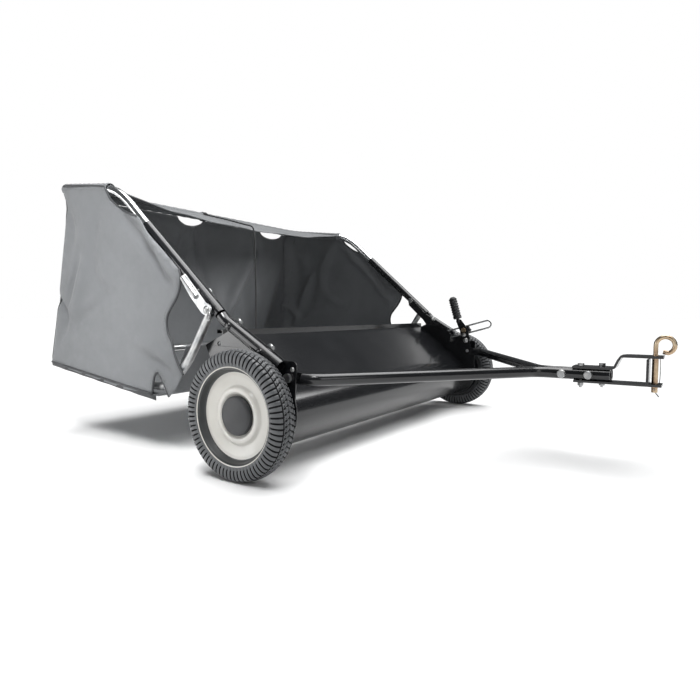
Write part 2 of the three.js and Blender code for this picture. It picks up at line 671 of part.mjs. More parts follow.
// ---- dump rope ----
const ROPE_RADIUS = 2.5;
const ROPE_ROUTE = [
  [-689, 0, 661], [-676, 0, 652.5], [-650, 1, 646], [-620, 2, 638], [-590, 2, 630], [-560, 1, 621.5],
  [-530, 0, 613], [-505, 0, 606], [-487, 0, 601.5], [-477, 0, 597], [-470.5, 0, 589], [-468, 0, 577],
  [-467, 1, 556], [-466, 1, 520], [-466, 2, 480], [-466, 2, 440], [-466, 3, 400], [-466, 3, 360],
  [-467, 3, 320], [-467, 2, 280], [-468, 2, 240], [-468, 1, 200], [-466, 1, 180], [-461, 0, 167],
  [-452, 0, 160.5], [-443, 0, 158.2],
];
const COIL_CENTRE = [-404.6, 0, 155.7];
const FLOOR_TILT = Math.atan2(194 - 133, 773 - 298);

function rope() {
  add("dump_rope", bar(ROPE_ROUTE.map((point) => new THREE.Vector3(...point)), ROPE_RADIUS, 8), cord);
  const profile = [[21, -7.5], [36, -7.5], [36, 7.5], [21, 7.5], [21, -7.5]];
  const coil = new THREE.LatheGeometry(profile.map(([r, z]) => new THREE.Vector2(r, z)), 24);
  coil.rotateX(Math.PI / 2);
  coil.rotateY(FLOOR_TILT);
  coil.translate(...COIL_CENTRE);
  add("dump_rope_coil", coil, cord);
  const band = prism([
    [-716, 654], [-716, 644], [-703, 635], [-690, 644], [-690, 656], [-703, 665], [-712, 662],
  ], 1, -9, 9, [[...BOW_REAR, BOW_RADIUS + GAP + 0.3, 16]]);
  add("rope_clip", band, blackPlastic);
}

housing();
bothSides(wheel);
brushReel();
drawbar();
hitch();
hitchPin();
heightLever();
depthGuide();
clamp();
hopperFrame();
bag();
rope();

const box = new THREE.Box3().setFromObject(sweeper);
sweeper.position.x = -(box.min.x + box.max.x) / 2;

export default sweeper;
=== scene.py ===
"""Looks for the tow-behind lawn sweeper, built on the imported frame.

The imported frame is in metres: +X to the hitch, +Y to the machine's left, +Z up. Places and outlines
are written in millimetres about the wheel axle, and mm() turns them into the frame. Radii of tubes
and bolts, bevels and the brush's sizes are in metres.
"""

import json
import math
import random

import bmesh
import bpy
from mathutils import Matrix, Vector
from mathutils.geometry import delaunay_2d_cdt


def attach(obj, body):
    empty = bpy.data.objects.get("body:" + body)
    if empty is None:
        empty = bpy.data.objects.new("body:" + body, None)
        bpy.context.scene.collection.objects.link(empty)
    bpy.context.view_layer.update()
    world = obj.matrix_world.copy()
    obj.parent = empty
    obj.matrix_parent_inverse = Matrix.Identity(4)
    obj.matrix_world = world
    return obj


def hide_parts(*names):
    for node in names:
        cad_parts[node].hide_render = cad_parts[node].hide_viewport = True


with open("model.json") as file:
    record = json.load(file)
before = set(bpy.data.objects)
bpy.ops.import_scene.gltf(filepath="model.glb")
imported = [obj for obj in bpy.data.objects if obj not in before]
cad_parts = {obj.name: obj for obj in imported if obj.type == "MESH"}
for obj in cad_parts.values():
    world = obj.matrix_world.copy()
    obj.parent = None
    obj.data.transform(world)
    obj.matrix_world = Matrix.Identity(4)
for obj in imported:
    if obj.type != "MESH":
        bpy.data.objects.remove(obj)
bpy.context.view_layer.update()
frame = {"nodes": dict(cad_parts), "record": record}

AXLE_X = 42.7585
WHEEL_RADIUS = 127.0
WHEEL_Y = 541.0
SIDES = {"right": -1, "left": 1}
SEED = 7
rng = random.Random(SEED)


def mm(x, y, z):
    """A point given in millimetres about the axle, in the frame's metres."""
    return Vector(((x + AXLE_X) / 1000, y / 1000, z / 1000))


def add_object(name, data):
    thing = bpy.data.objects.new(name, data)
    bpy.context.scene.collection.objects.link(thing)
    return thing


def aim(thing, direction):
    """Turns a camera or a light so that it looks along the direction."""
    thing.rotation_mode = "QUATERNION"
    thing.rotation_quaternion = direction.to_track_quat("-Z", "Y")


# ---- camera
CAMERA_SPOT = (742, -1276, 321)
CAMERA_YAW = 2.156
CAMERA_PITCH = -0.067
CAMERA_LENS = 27.77
SENSOR_WIDTH = 36


def make_camera():
    level = math.cos(CAMERA_PITCH)
    look = Vector((level * math.cos(CAMERA_YAW), level * math.sin(CAMERA_YAW), math.sin(CAMERA_PITCH)))
    data = bpy.data.cameras.new("camera")
    data.sensor_width = SENSOR_WIDTH
    data.lens = CAMERA_LENS
    camera = add_object("camera", data)
    camera.location = mm(*CAMERA_SPOT)
    aim(camera, look)
    bpy.context.scene.camera = camera


# ---- small tools
def clamp(value, low=0.0, high=1.0):
    return min(max(value, low), high)


def smoothstep(low, high, value):
    t = clamp((value - low) / (high - low))
    return t * t * (3 - 2 * t)


def circle(steps, count=None):
    """Angles in even steps round a circle; count asks for fewer or more of them than one round."""
    return [2 * math.pi * i / steps for i in range(steps if count is None else count)]


def ring_faces(rings, count, closed=False):
    """Quads between neighbouring rings of count points; closed joins the last ring to the first."""
    faces = []
    for i in range(rings if closed else rings - 1):
        following = (i + 1) % rings
        for j in range(count):
            k = (j + 1) % count
            faces.append((i * count + j, i * count + k, following * count + k, following * count + j))
    return faces


def end_caps(rings, count):
    """The two polygons that close the first and the last ring."""
    return [tuple(range(count))[::-1], tuple(range((rings - 1) * count, rings * count))]


def grid_faces(rows, columns):
    """Quads of a grid that is rows quads one way and columns quads the other."""
    faces = []
    for i in range(rows):
        for j in range(columns):
            a = i * (columns + 1) + j
            faces.append((a, a + 1, a + columns + 2, a + columns + 1))
    return faces


def mesh_object(name, points, faces, material, smooth=True):
    mesh = bpy.data.meshes.new(name)
    mesh.from_pydata([tuple(p) for p in points], [], faces)
    mesh.validate()
    mesh.update()
    if smooth:
        mesh.shade_smooth()
    else:
        mesh.shade_flat()
    mesh.materials.append(material)
    return add_object(name, mesh)


def outward(piece):
    """Turns every face of a closed mesh outwards."""
    shape = bmesh.new()
    shape.from_mesh(piece.data)
    bmesh.ops.recalc_face_normals(shape, faces=shape.faces)
    shape.to_mesh(piece.data)
    shape.free()
    return piece


def place(piece, body, slot, *nodes):
    """Rides the piece on its body and lets it stand in for CAD nodes; the slot is not used."""
    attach(piece, body)
    if nodes:
        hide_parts(*nodes)
    return piece


def smooth_line(points, per_span=6):
    """A Catmull-Rom line through the points."""
    points = [Vector(p) for p in points]
    ends = [points[0] * 2 - points[1], *points, points[-1] * 2 - points[-2]]
    line = []
    for a, b, c, d in zip(ends, ends[1:], ends[2:], ends[3:]):
        for i in range(per_span):
            t = i / per_span
            line.append(0.5 * (2 * b + (c - a) * t + (2 * a - 5 * b + 4 * c - d) * t * t
                               + (3 * b - a - 3 * c + d) * t ** 3))
    line.append(points[-1])
    return line


def rounded_line(corners, reach, steps=8):
    """Straight runs with each corner rounded over the given length."""
    corners = [Vector(c) for c in corners]
    line = [corners[0]]
    for before, here, after in zip(corners, corners[1:], corners[2:]):
        length = min(reach, (here - before).length / 2.1, (here - after).length / 2.1)
        enter = here + (before - here).normalized() * length
        leave = here + (after - here).normalized() * length
        for i in range(steps + 1):
            t = i / steps
            line.append(enter * (1 - t) ** 2 + here * 2 * t * (1 - t) + leave * t * t)
    line.append(corners[-1])
    return line


def tube_data(line, radius, sides=16, caps=True):
    """Points and faces of a round tube; radius is a number or one number per point."""
    points = []
    last = len(line) - 1
    radii = radius if isinstance(radius, list) else [radius] * len(line)
    normal = None
    for i, here in enumerate(line):
        ahead = (line[min(i + 1, last)] - line[max(i - 1, 0)]).normalized()
        if normal is None:
            normal = ahead.orthogonal().normalized()
        normal = (normal - ahead * normal.dot(ahead)).normalized()
        across = ahead.cross(normal)
        for angle in circle(sides):
            points.append(here + (normal * math.cos(angle) + across * math.sin(angle)) * radii[i])
    faces = ring_faces(len(line), sides)
    if caps:
        faces += end_caps(len(line), sides)
    return points, faces


def tube(name, line, radius, material, sides=16):
    return mesh_object(name, *tube_data(line, radius, sides), material)


def many(name, parts, material, smooth=True):
    """One object from several lists of points and faces."""
    points, faces = [], []
    for part_points, part_faces in parts:
        start = len(points)
        points += part_points
        faces += [tuple(start + i for i in face) for face in part_faces]
    return mesh_object(name, points, faces, material, smooth)


def lathe_data(profile, centre, side, segments):
    """Turned about a line along Y. The profile is (radius, outward distance) in millimetres."""
    points = []
    for radius, along in profile:
        for angle in circle(segments):
            spot = Vector((radius * math.cos(angle), side * along, radius * math.sin(angle)))
            points.append(centre + spot / 1000)
    return points, ring_faces(len(profile), segments)


WASHER_SHARE = 1.35
WASHER_HEIGHT = 0.0012
WASHER_SIDES = 20


def bolt_data(centre, axis, head, height, dome=0.0, sides=6):
    """A bolt head or nut standing on centre, with its washer; head is its radius."""
    axis = Vector(axis).normalized()
    across = axis.orthogonal().normalized()
    other = axis.cross(across)
    washer = [(head * WASHER_SHARE, 0.0), (head * WASHER_SHARE, WASHER_HEIGHT)]
    crown = [(head, WASHER_HEIGHT), (head, height * 0.85), (head * 0.88, height)]
    if dome:
        crown += [(head * 0.6, height + dome * 0.8), (head * 0.2, height + dome)]
    parts = []
    for rings, count in ((washer, WASHER_SIDES), (crown, sides)):
        points = []
        for radius, lift in rings:
            for angle in circle(count):
                out = across * math.cos(angle) + other * math.sin(angle)
                points.append(centre + axis * lift + out * radius)
        parts.append((points, ring_faces(len(rings), count) + end_caps(len(rings), count)))
    return parts


def soften_edges(piece, width, angle=35):
    """Rounds the edges sharper than the angle, and keeps the flat faces flat."""
    bevel = piece.modifiers.new("edge", "BEVEL")
    bevel.width = width
    bevel.segments = 2
    bevel.limit_method = "ANGLE"
    bevel.angle_limit = math.radians(angle)
    bevel.use_clamp_overlap = True
    weighted = piece.modifiers.new("normals", "WEIGHTED_NORMAL")
    weighted.mode = "FACE_AREA_WITH_ANGLE"


# ---- materials
NOISE_LOW = 0.3
NOISE_HIGH = 0.7
WEAVE_SCALE = 300


class Finish:
    """A node material whose colour, roughness and bump come from procedural patterns."""

    def __init__(self, name, **sockets):
        self.material = bpy.data.materials.new(name)
        self.material.use_nodes = True
        self.nodes = self.material.node_tree.nodes
        self.links = self.material.node_tree.links
        self.shader = self.nodes["Principled BSDF"]
        self.fill(self.shader, sockets)
        self.place = self.nodes.new("ShaderNodeTexCoord").outputs["Object"]

    def fill(self, node, sockets):
        """Sets each named socket to a number, or links it to the output it is given."""
        for name, value in sockets.items():
            socket = node.inputs[name.replace("_", " ")]
            if isinstance(value, bpy.types.NodeSocket):
                self.links.new(value, socket)
            else:
                socket.default_value = value

    def add(self, kind, **sockets):
        node = self.nodes.new(kind)
        self.fill(node, sockets)
        return node

    def noise(self, scale, detail, roughness=0.55):
        node = self.add("ShaderNodeTexNoise", Vector=self.place, Scale=scale, Detail=detail,
                        Roughness=roughness)
        return node.outputs["Fac"]

    def wave(self, axis, scale, distortion):
        node = self.add("ShaderNodeTexWave", Vector=self.place, Scale=scale, Distortion=distortion)
        node.wave_type = "BANDS"
        node.bands_direction = axis
        return node.outputs["Fac"]

    def ramp(self, value, *stops):
        """A colour for the value, from stops of (position, red-green-blue)."""
        node = self.add("ShaderNodeValToRGB", Fac=value)
        while len(node.color_ramp.elements) < len(stops):
            node.color_ramp.elements.new(0.5)
        for element, (position, color) in zip(node.color_ramp.elements, stops):
            element.position = position
            element.color = (*color, 1.0)
        return node.outputs["Color"]

    def span(self, value, low, high):
        """The middle of a noise's range stretched over low to high."""
        node = self.add("ShaderNodeMapRange", Value=value, From_Min=NOISE_LOW, From_Max=NOISE_HIGH,
                        To_Min=low, To_Max=high)
        return node.outputs["Result"]

    def combine(self, operation, first, second):
        node = self.nodes.new("ShaderNodeMath")
        node.operation = operation
        self.links.new(first, node.inputs[0])
        if isinstance(second, bpy.types.NodeSocket):
            self.links.new(second, node.inputs[1])
        else:
            node.inputs[1].default_value = second
        return node.outputs["Value"]

    def color(self, value):
        self.fill(self.shader, {"Base Color": value})

    def rough(self, value):
        self.fill(self.shader, {"Roughness": value})

    def bump(self, height, strength, distance):
        node = self.add("ShaderNodeBump", Height=height, Strength=strength, Distance=distance)
        self.fill(self.shader, {"Normal": node.outputs["Normal"]})


def speckled(name, tint, rough, bump, **sockets):
    """A finish whose colour, roughness and bump each follow a noise of their own.

    Each of the three starts with its noise. Then tint has the stops of its colour ramp, rough has
    its lowest and highest roughness, and bump has its strength and its distance in metres.
    """
    finish = Finish(name, **sockets)
    finish.color(finish.ramp(finish.noise(*tint[0]), *tint[1:]))
    finish.rough(finish.span(finish.noise(*rough[0]), *rough[1:]))
    finish.bump(finish.noise(*bump[0]), *bump[1:])
    return finish


SPECKLED = {
    "black_paint": dict(
        tint=((9, 6, 0.6), (0.35, (0.005, 0.0055, 0.0065)), (0.75, (0.011, 0.0115, 0.013))),
        rough=((5, 3), 0.17, 0.24), bump=((320, 2), 0.012, 0.0003),
        Coat_Weight=0.25, Coat_Roughness=0.08, IOR=1.5),
    "bright_zinc": dict(
        tint=((55, 5), (0.3, (0.33, 0.34, 0.35)), (0.7, (0.53, 0.53, 0.52))),
        rough=((90, 4), 0.32, 0.5), bump=((420, 3), 0.08, 0.0002), Metallic=1.0),
    "chrome_tube": dict(
        tint=((30, 3), (0.3, (0.74, 0.75, 0.76)), (0.7, (0.86, 0.87, 0.88))),
        rough=((60, 4), 0.14, 0.24), bump=((500, 2), 0.03, 0.0001), Metallic=1.0),
    "yellow_zinc": dict(
        tint=((45, 5), (0.25, (0.36, 0.24, 0.16)), (0.55, (0.55, 0.42, 0.28)), (0.8, (0.62, 0.55, 0.42))),
        rough=((80, 4), 0.25, 0.42), bump=((380, 3), 0.08, 0.0002), Metallic=1.0),
    "tyre_rubber": dict(
        tint=((14, 6), (0.3, (0.064, 0.067, 0.071)), (0.75, (0.105, 0.110, 0.116))),
        rough=((40, 5), 0.36, 0.5), bump=((600, 3), 0.12, 0.0002), Specular_IOR_Level=0.6),
    # near-black finish for the tyre's grooves: painted shade in the recesses
    "groove_painted_shade": dict(
        tint=((20, 5), (0.3, (0.006, 0.006, 0.007)), (0.7, (0.012, 0.012, 0.013))),
        rough=((40, 4), 0.7, 0.85), bump=((500, 3), 0.1, 0.0002), Specular_IOR_Level=0.2),
    "grip_rubber": dict(
        tint=((30, 5), (0.3, (0.014, 0.0145, 0.016)), (0.75, (0.03, 0.031, 0.033))),
        rough=((60, 5), 0.5, 0.7), bump=((700, 2), 0.2, 0.0002), Specular_IOR_Level=0.4),
    "cream_enamel": dict(
        tint=((7, 5), (0.3, (0.50, 0.48, 0.43)), (0.7, (0.62, 0.61, 0.575))),
        rough=((30, 4), 0.28, 0.45), bump=((240, 2), 0.05, 0.0003), Coat_Weight=0.35, Coat_Roughness=0.12),
    # dark grey for the rim's inner barrel, darkened further as painted shade inside the recess
    "barrel_grey_and_painted_shade": dict(
        tint=((9, 5), (0.3, (0.018, 0.020, 0.021)), (0.7, (0.036, 0.038, 0.039))),
        rough=((30, 4), 0.35, 0.5), bump=((240, 2), 0.05, 0.0003), Coat_Weight=0.3, Coat_Roughness=0.2),
    "black_plastic": dict(
        tint=((12, 5), (0.3, (0.018, 0.019, 0.021)), (0.7, (0.032, 0.033, 0.036))),
        rough=((35, 5), 0.38, 0.52), bump=((900, 2), 0.18, 0.0002), Specular_IOR_Level=0.5),
    "nylon": dict(
        tint=((25, 4), (0.3, (0.62, 0.6, 0.53)), (0.7, (0.72, 0.7, 0.64))),
        rough=((40, 4), 0.45, 0.6), bump=((500, 2), 0.1, 0.0002), Subsurface_Weight=0.05),
    "bristle": dict(
        tint=((160, 3), (0.3, (0.015, 0.015, 0.016)), (0.7, (0.06, 0.06, 0.062))),
        rough=((50, 3), 0.45, 0.65), bump=((900, 2), 0.2, 0.0002), Specular_IOR_Level=0.4),
    # tape darker than the cloth: painted shade of the folded hems and bindings
    "tape_painted_shade": dict(
        tint=((12, 4), (0.3, (0.032, 0.034, 0.036)), (0.7, (0.060, 0.062, 0.066))),
        rough=((40, 4), 0.5, 0.66), bump=((300, 3), 0.25, 0.0004), Specular_IOR_Level=0.4),
}


def make_materials():
    finishes = {name: speckled(name, **settings) for name, settings in SPECKLED.items()}
    finishes["hopper_fabric"] = fabric_finish()
    finishes["rope_braid"] = rope_finish()
    return {name: finish.material for name, finish in finishes.items()}


def rope_finish():
    """Braided cord: two crossing bands of strands."""
    rope = Finish("rope_braid", Sheen_Weight=0.25, Sheen_Roughness=0.5)
    strands = rope.combine("MULTIPLY", rope.wave("DIAGONAL", 210, 0.4), rope.wave("Z", 260, 0.4))
    rope.color(rope.ramp(strands, (0.1, (0.006, 0.006, 0.007)), (0.8, (0.03, 0.031, 0.034))))
    rope.rough(rope.span(rope.noise(300, 3), 0.6, 0.85))
    rope.bump(strands, 0.7, 0.0006)
    return rope


def fabric_finish():
    """Coated woven cloth: a fine weave, slow colour drift, fibre fuzz and shallow dents."""
    cloth = Finish("hopper_fabric", Sheen_Weight=0.12, Sheen_Roughness=0.45, Specular_IOR_Level=0.4)
    warp, side, weft = [cloth.wave(axis, WEAVE_SCALE, 0.25) for axis in "XYZ"]
    weave = cloth.combine("MULTIPLY", cloth.combine("ADD", warp, side), weft)
    drift = cloth.noise(3.2, 5, 0.6)
    fuzz = cloth.noise(500, 3, 0.6)
    tone = cloth.combine("ADD", cloth.combine("MULTIPLY", drift, 0.75), cloth.combine("MULTIPLY", fuzz, 0.25))
    cloth.color(cloth.ramp(tone, (0.32, (0.130, 0.136, 0.142)), (0.68, (0.185, 0.192, 0.200))))
    cloth.rough(cloth.span(cloth.noise(45, 4), 0.5, 0.68))
    fine = cloth.combine("ADD", cloth.combine("MULTIPLY", weave, 0.5), cloth.combine("MULTIPLY", fuzz, 0.4))
    dents = cloth.combine("MULTIPLY", cloth.noise(18, 4), 2.0)
    cloth.bump(cloth.combine("ADD", fine, dents), 0.3, 0.0012)
    return cloth


# ---- rope
ROPE_RADIUS = 0.0025
ROPE_ROUTE = [
    (-689, 0, 661), (-676, 0, 652.5), (-650, 1, 646), (-620, 2, 638), (-590, 2, 630), (-560, 1, 621.5),
    (-530, 0, 613), (-505, 0, 606), (-487, 0, 601.5), (-477, 0, 597), (-470.5, 0, 589), (-468, 0, 577),
    (-467, 1, 556), (-466, 1, 520), (-466, 2, 480), (-466, 2, 440), (-466, 3, 400), (-466, 3, 360),
    (-467, 3, 320), (-467, 2, 280), (-468, 2, 240), (-468, 1, 200), (-466, 1, 180), (-461, 0, 167),
    (-455, 3.5, 162.2), (-446, 9.5, 157.4),
]
COIL_CENTRE = (-404.6, 0, 155.7)
FLOOR_TILT = math.atan2(194 - 133, 773 - 298)
COIL_RADII = (33.5, 28.5, 23.5)
COIL_TURNS = ([(0, radius) for radius in COIL_RADII] + [(1, radius) for radius in reversed(COIL_RADII)]
              + [(2, COIL_RADII[0])])
COIL_START = math.radians(148)
LAYER_PITCH = 5.05
TURN_STEPS = 24
KNOT_STEPS = 48
KNOT_SIZE = 0.0021
KNOT_RISE = 0.0015
KNOT_LEAD = 0.0072
KNOT_RADIUS = 0.0022
BOW_REAR = (-703, 650)
LASHING_REACH = 13.6
LASHING_TURNS = (-4.6, 0.6, 5.8)


def coil_point(angle, radius, layer):
    """A point of the coil, which lies on the sloping floor of the bag."""
    u, v, w = radius * math.cos(angle), radius * math.sin(angle), (layer - 1) * LAYER_PITCH
    x = u * math.cos(FLOOR_TILT) + w * math.sin(FLOOR_TILT)
    z = -u * math.sin(FLOOR_TILT) + w * math.cos(FLOOR_TILT)
    return mm(COIL_CENTRE[0] + x, COIL_CENTRE[1] + v, COIL_CENTRE[2] + z)


def rope_line():
    """Down from the bow to the floor, then round the coil; each turn eases into the next one at its end."""
    line = [mm(*p) for p in ROPE_ROUTE]
    for (layer, radius), (next_layer, next_radius) in zip(COIL_TURNS, COIL_TURNS[1:] + COIL_TURNS[-1:]):
        for step in range(TURN_STEPS):
            share = smoothstep(0.75, 1.0, step / TURN_STEPS)
            angle = COIL_START - 2 * math.pi * step / TURN_STEPS
            line.append(coil_point(angle, radius + (next_radius - radius) * share,
                                   layer + (next_layer - layer) * share))
    return smooth_line(line, 2)


def make_knot(line, material):
    """A three-lobed knot at the end of the rope."""
    end, before = line[-1], line[-2]
    along = (end - before).normalized()
    side = along.cross(Vector((0, 0, 1))).normalized()
    knot_line = []
    for t in circle(KNOT_STEPS, KNOT_STEPS + 1):
        out = side * (math.sin(t) + 2 * math.sin(2 * t)) + along * (math.cos(t) - 2 * math.cos(2 * t))
        rise = Vector((0, 0, KNOT_RISE - KNOT_SIZE * math.sin(3 * t)))
        knot_line.append(end + along * KNOT_LEAD + out * KNOT_SIZE + rise)
    knot = tube("dump_rope_knot", knot_line, KNOT_RADIUS, material, 8)
    return place(knot, "hopper", "rope_braid")


def make_lashing(material):
    """The turns of cord that tie the rope round the bow."""
    loops = []
    for lift in LASHING_TURNS:
        ring = [mm(BOW_REAR[0] + LASHING_REACH * math.cos(a), lift + 1.2 * math.sin(a),
                   BOW_REAR[1] + LASHING_REACH * math.sin(a)) for a in circle(24, 25)]
        loops.append(tube_data(ring, 0.0024, 8))
    place(many("dump_rope_hitch", loops, material), "hopper", "rope_braid")


def make_rope(material):
    line = rope_line()
    rope = tube("dump_rope_whole", line, ROPE_RADIUS, material, 10)
    place(rope, "hopper", "rope_braid", "dump_rope", "dump_rope_coil")
    knot = make_knot(line, material)
    make_lashing(material)


# ---- wheels
RIBS = 72
RIB_PHASES = (0.0, 0.11, 0.17, 0.34, 0.5, 0.66, 0.83, 0.89)
SIDEWALL = [
    # radius, distance from the tyre's middle
    (94.0, 19.0), (95.2, 21.2), (97.2, 22.6), (99.6, 23.5), (101.8, 24.0), (103.2, 24.2), (104.2, 24.9),
    (106.0, 25.0), (108.4, 25.0), (111.0, 24.8), (113.6, 24.4), (116.0, 23.8), (118.2, 23.0), (120.2, 21.9),
    (121.9, 20.4), (123.2, 18.6), (124.2, 16.8),
]
TREAD_HALF = 15.6
TREAD_ROWS = 24
CROWN = 2.4
CHEVRON_SLANT = 0.9
MIDDLE_GROOVE = 3.4
EDGE_GROOVE_AT, EDGE_GROOVE = 14.3, 2.8
WAVE_GROOVE_AT, WAVE_GROOVE, WAVE_SWING = 8.0, 2.4, 1.6
RIB_GROOVE = 2.8
WALL_GROOVE = 3.2
# faces cut deeper than this take the near-black groove finish, painted shade of the grooves
PAINTED_SHADE_DEPTH = 1.35


def cut_share(phase):
    """1 in the groove between two ribs, 0 on a rib; the phase is a share of one rib's pitch."""
    return 1 - smoothstep(0.10, 0.17, min(phase, 1 - phase))


def tread_depth(along, phase):
    """How far the tread is cut in, at a distance from the tyre's middle."""
    reach = abs(along)
    wave_at = WAVE_GROOVE_AT + WAVE_SWING * math.sin(2 * math.pi * phase)
    middle = 1 - smoothstep(1.0, 1.9, reach)
    edge = 1 - smoothstep(0.7, 1.5, abs(reach - EDGE_GROOVE_AT))
    wave = 1 - smoothstep(0.6, 1.4, abs(reach - wave_at))
    return max(MIDDLE_GROOVE * middle, EDGE_GROOVE * edge, WAVE_GROOVE * wave, RIB_GROOVE * cut_share(phase))


def tyre_rows():
    """Radius, distance from the middle and zone of each ring, from one bead over the tread to the other."""
    rows = [(radius, along, "wall") for radius, along in SIDEWALL]
    for i in range(TREAD_ROWS + 1):
        along = TREAD_HALF * (1 - 2 * i / TREAD_ROWS)
        rows.append((WHEEL_RADIUS - CROWN * (along / TREAD_HALF) ** 2, along, "tread"))
    rows += [(radius, -along, "wall") for radius, along in reversed(SIDEWALL)]
    return rows


def carved(radius, along, zone, phase):
    """A ring point with its groove cut in: its radius, its distance from the middle and the depth cut."""
    if zone == "tread":
        depth = tread_depth(along, phase)
        return radius - depth, along, depth
    depth = WALL_GROOVE * smoothstep(98.0, 101.0, radius) * cut_share(phase)
    lean = smoothstep(118.5, 124, radius)
    return radius - depth * lean, along - math.copysign(depth * (1 - lean), along), depth


def make_tyre(label, side, materials):
    rows = tyre_rows()
    steps = len(RIB_PHASES)
    columns = RIBS * steps
    centre = mm(0, side * WHEEL_Y, WHEEL_RADIUS)
    points, depths = [], []
    for radius, along, zone in rows:
        slant = CHEVRON_SLANT * (1 - abs(along) / TREAD_HALF) if zone == "tread" else 0.0
        for j in range(columns):
            phase = RIB_PHASES[j % steps]
            angle = 2 * math.pi * (j // steps + phase + slant) / RIBS
            r, w, depth = carved(radius, along, zone, phase)
            points.append(centre + Vector((r * math.cos(angle), side * w, r * math.sin(angle))) / 1000)
            depths.append(depth)
    faces = ring_faces(len(rows), columns, closed=True)
    tyre = outward(mesh_object(f"tyre_ribbed_{label}", points, faces, materials["tyre_rubber"]))
    # faces deep in the grooves take a near-black finish: painted shade, so the grooves read dark under any
    # light
    tyre.data.materials.append(materials["groove_painted_shade"])
    for polygon in tyre.data.polygons:
        depth = sum(depths[i] for i in polygon.vertices) / len(polygon.vertices)
        polygon.material_index = int(depth > PAINTED_SHADE_DEPTH)
    place(tyre, f"wheel_{label}", "tyre_rubber", f"tyre_{label}")


RIM_PROFILE = [
    # radius, distance outwards from the wheel's middle
    (8.4, -27), (15, -27), (15, -4), (40, -2), (52, 0), (58, -4), (80, 1.8), (82.6, -19.6), (93.4, -19.6),
    (93.6, 18.2), (96.4, 20.2), (96.0, 21.6), (93.4, 20.4), (90.4, 18), (88.6, 12), (86.6, 7.4), (84, 6.2),
    (80, 6.4), (76, 5.6), (70, 3.2), (63, 0.9), (59, 0.3), (56.6, 1.6), (54.4, 4.6), (52, 6.2), (48.4, 7.0),
    (45, 6.4), (42, 4), (40.6, 2.2), (39, 1.2), (8.4, 1.2), (8.4, -27),
]
CAP_PROFILE = [
    (0.01, 1.5), (38.2, 1.5), (38.4, 2.6), (38.2, 7.2), (37.2, 9.2), (35, 10.6), (31, 11.4), (24, 12.2),
    (14, 13), (6, 13.3), (0.01, 13.4),
]
BARREL_RADIUS = 0.0835
BARREL_LIP = 0.0197


def make_rim(label, side, materials):
    """The pressed rim and the hub cap; the rim's inner barrel is dark grey, darkened further as painted shade
    of its recess.
    """
    centre = mm(0, side * WHEEL_Y, WHEEL_RADIUS)
    rim = outward(mesh_object(f"rim_pressed_{label}", *lathe_data(RIM_PROFILE, centre, side, 96),
                              materials["cream_enamel"]))
    # faces of the inner barrel take the dark finish: partly its grey, partly painted shade of the recess
    rim.data.materials.append(materials["barrel_grey_and_painted_shade"])
    for polygon in rim.data.polygons:
        middle = polygon.center - centre
        if math.hypot(middle.x, middle.z) > BARREL_RADIUS and side * middle.y < BARREL_LIP:
            polygon.material_index = 1
    soften_edges(rim, 0.0009, 28)
    place(rim, f"wheel_{label}", "cream_enamel", f"rim_{label}")
    cap = outward(mesh_object(f"hub_cap_domed_{label}", *lathe_data(CAP_PROFILE, centre, side, 72),
                              materials["black_plastic"]))
    soften_edges(cap, 0.0005, 30)
    place(cap, f"wheel_{label}", "black_plastic", f"hub_cap_{label}")


# ---- hopper cloth
SIDE_HALF = 503.4
REAR_TOP = (-716, 654)
REAR_BOTTOM = (-778, 196)
REAR_LIMIT = -779
REAR_BELLY = 9
SIDE_DISH = 3.0
CLOTH_LOW, CLOTH_HIGH = REAR_BOTTOM[1], REAR_TOP[1]
CORNER_RADIUS_LOW = 52
CORNER_RADIUS_GROWTH = 26
# how deep a rounded corner's middle lies inside the sharp corner, as a share of its radius
CORNER_CUT = 0.293
PINCH_UNDER_BOW = 5
PINCH_HALFWAY = 7
CREASE_GAIN = 2.3
FAR_CREASE_SHIFT = 26
FOLD_GAIN = 2.4
CLOTH_SPACING = 9.0
HEM_WIDTH = 13
HEM_FRONT_X = -312
HEM_REAR = (-774, 195)
SIDE_OUTLINE = [
    # x and z, from the top rear corner forwards, down the open edge and back along the floor
    (-712, 654), (-660, 649.5), (-600, 642), (-540, 635), (-478, 626), (-470, 610), (-458, 594), (-440, 580),
    (-414, 564), (-384, 553), (-352, 543), (-340, 532), (-282, 480), (-212, 417), (-206, 402), (-210, 378),
    (-222, 356), (-240, 334), (-252, 318), (-256, 300), (-252, 278), (-240, 258), (-232, 232), (-218, 206),
    (-205, 188), (-228, 156), (-254, 136), (-268, 160), (-280, 178), (-292, 188), (-303, 180), (-309, 160),
    (-312, 140), (-420, 141), (-540, 160), (-660, 176), (-774, 196), (-768, 240), (-752, 360), (-734, 500),
    (-722, 600),
]
CREASES = [
    # points, half width, height outwards, all in the plane of the side panel
    ([(-470, 604), (-425, 568), (-394, 535), (-349, 498), (-296, 450), (-262, 401), (-226, 367)], 13, -5.0),
    ([(-330, 520), (-315, 500), (-285, 462), (-250, 420), (-222, 398)], 15, 5.0),
    ([(-596, 480), (-623, 434), (-648, 384), (-676, 330)], 12, -4.5),
    ([(-560, 470), (-590, 420), (-612, 372), (-640, 310)], 20, 4.0),
    ([(-760, 372), (-706, 349), (-674, 312), (-700, 262)], 13, -6.0),
    ([(-704, 259), (-650, 290), (-591, 313), (-502, 345)], 16, -3.5),
    ([(-543, 450), (-536, 410), (-500, 380), (-440, 352)], 17, -2.5),
    ([(-716, 630), (-660, 585), (-640, 540), (-640, 480)], 24, -4.5),
    ([(-470, 617), (-520, 556), (-548, 480), (-560, 400)], 26, -3.5),
    ([(-240, 200), (-300, 240), (-380, 262)], 14, 3.0),
    ([(-232, 182), (-290, 214), (-340, 222)], 10, -3.0),
]


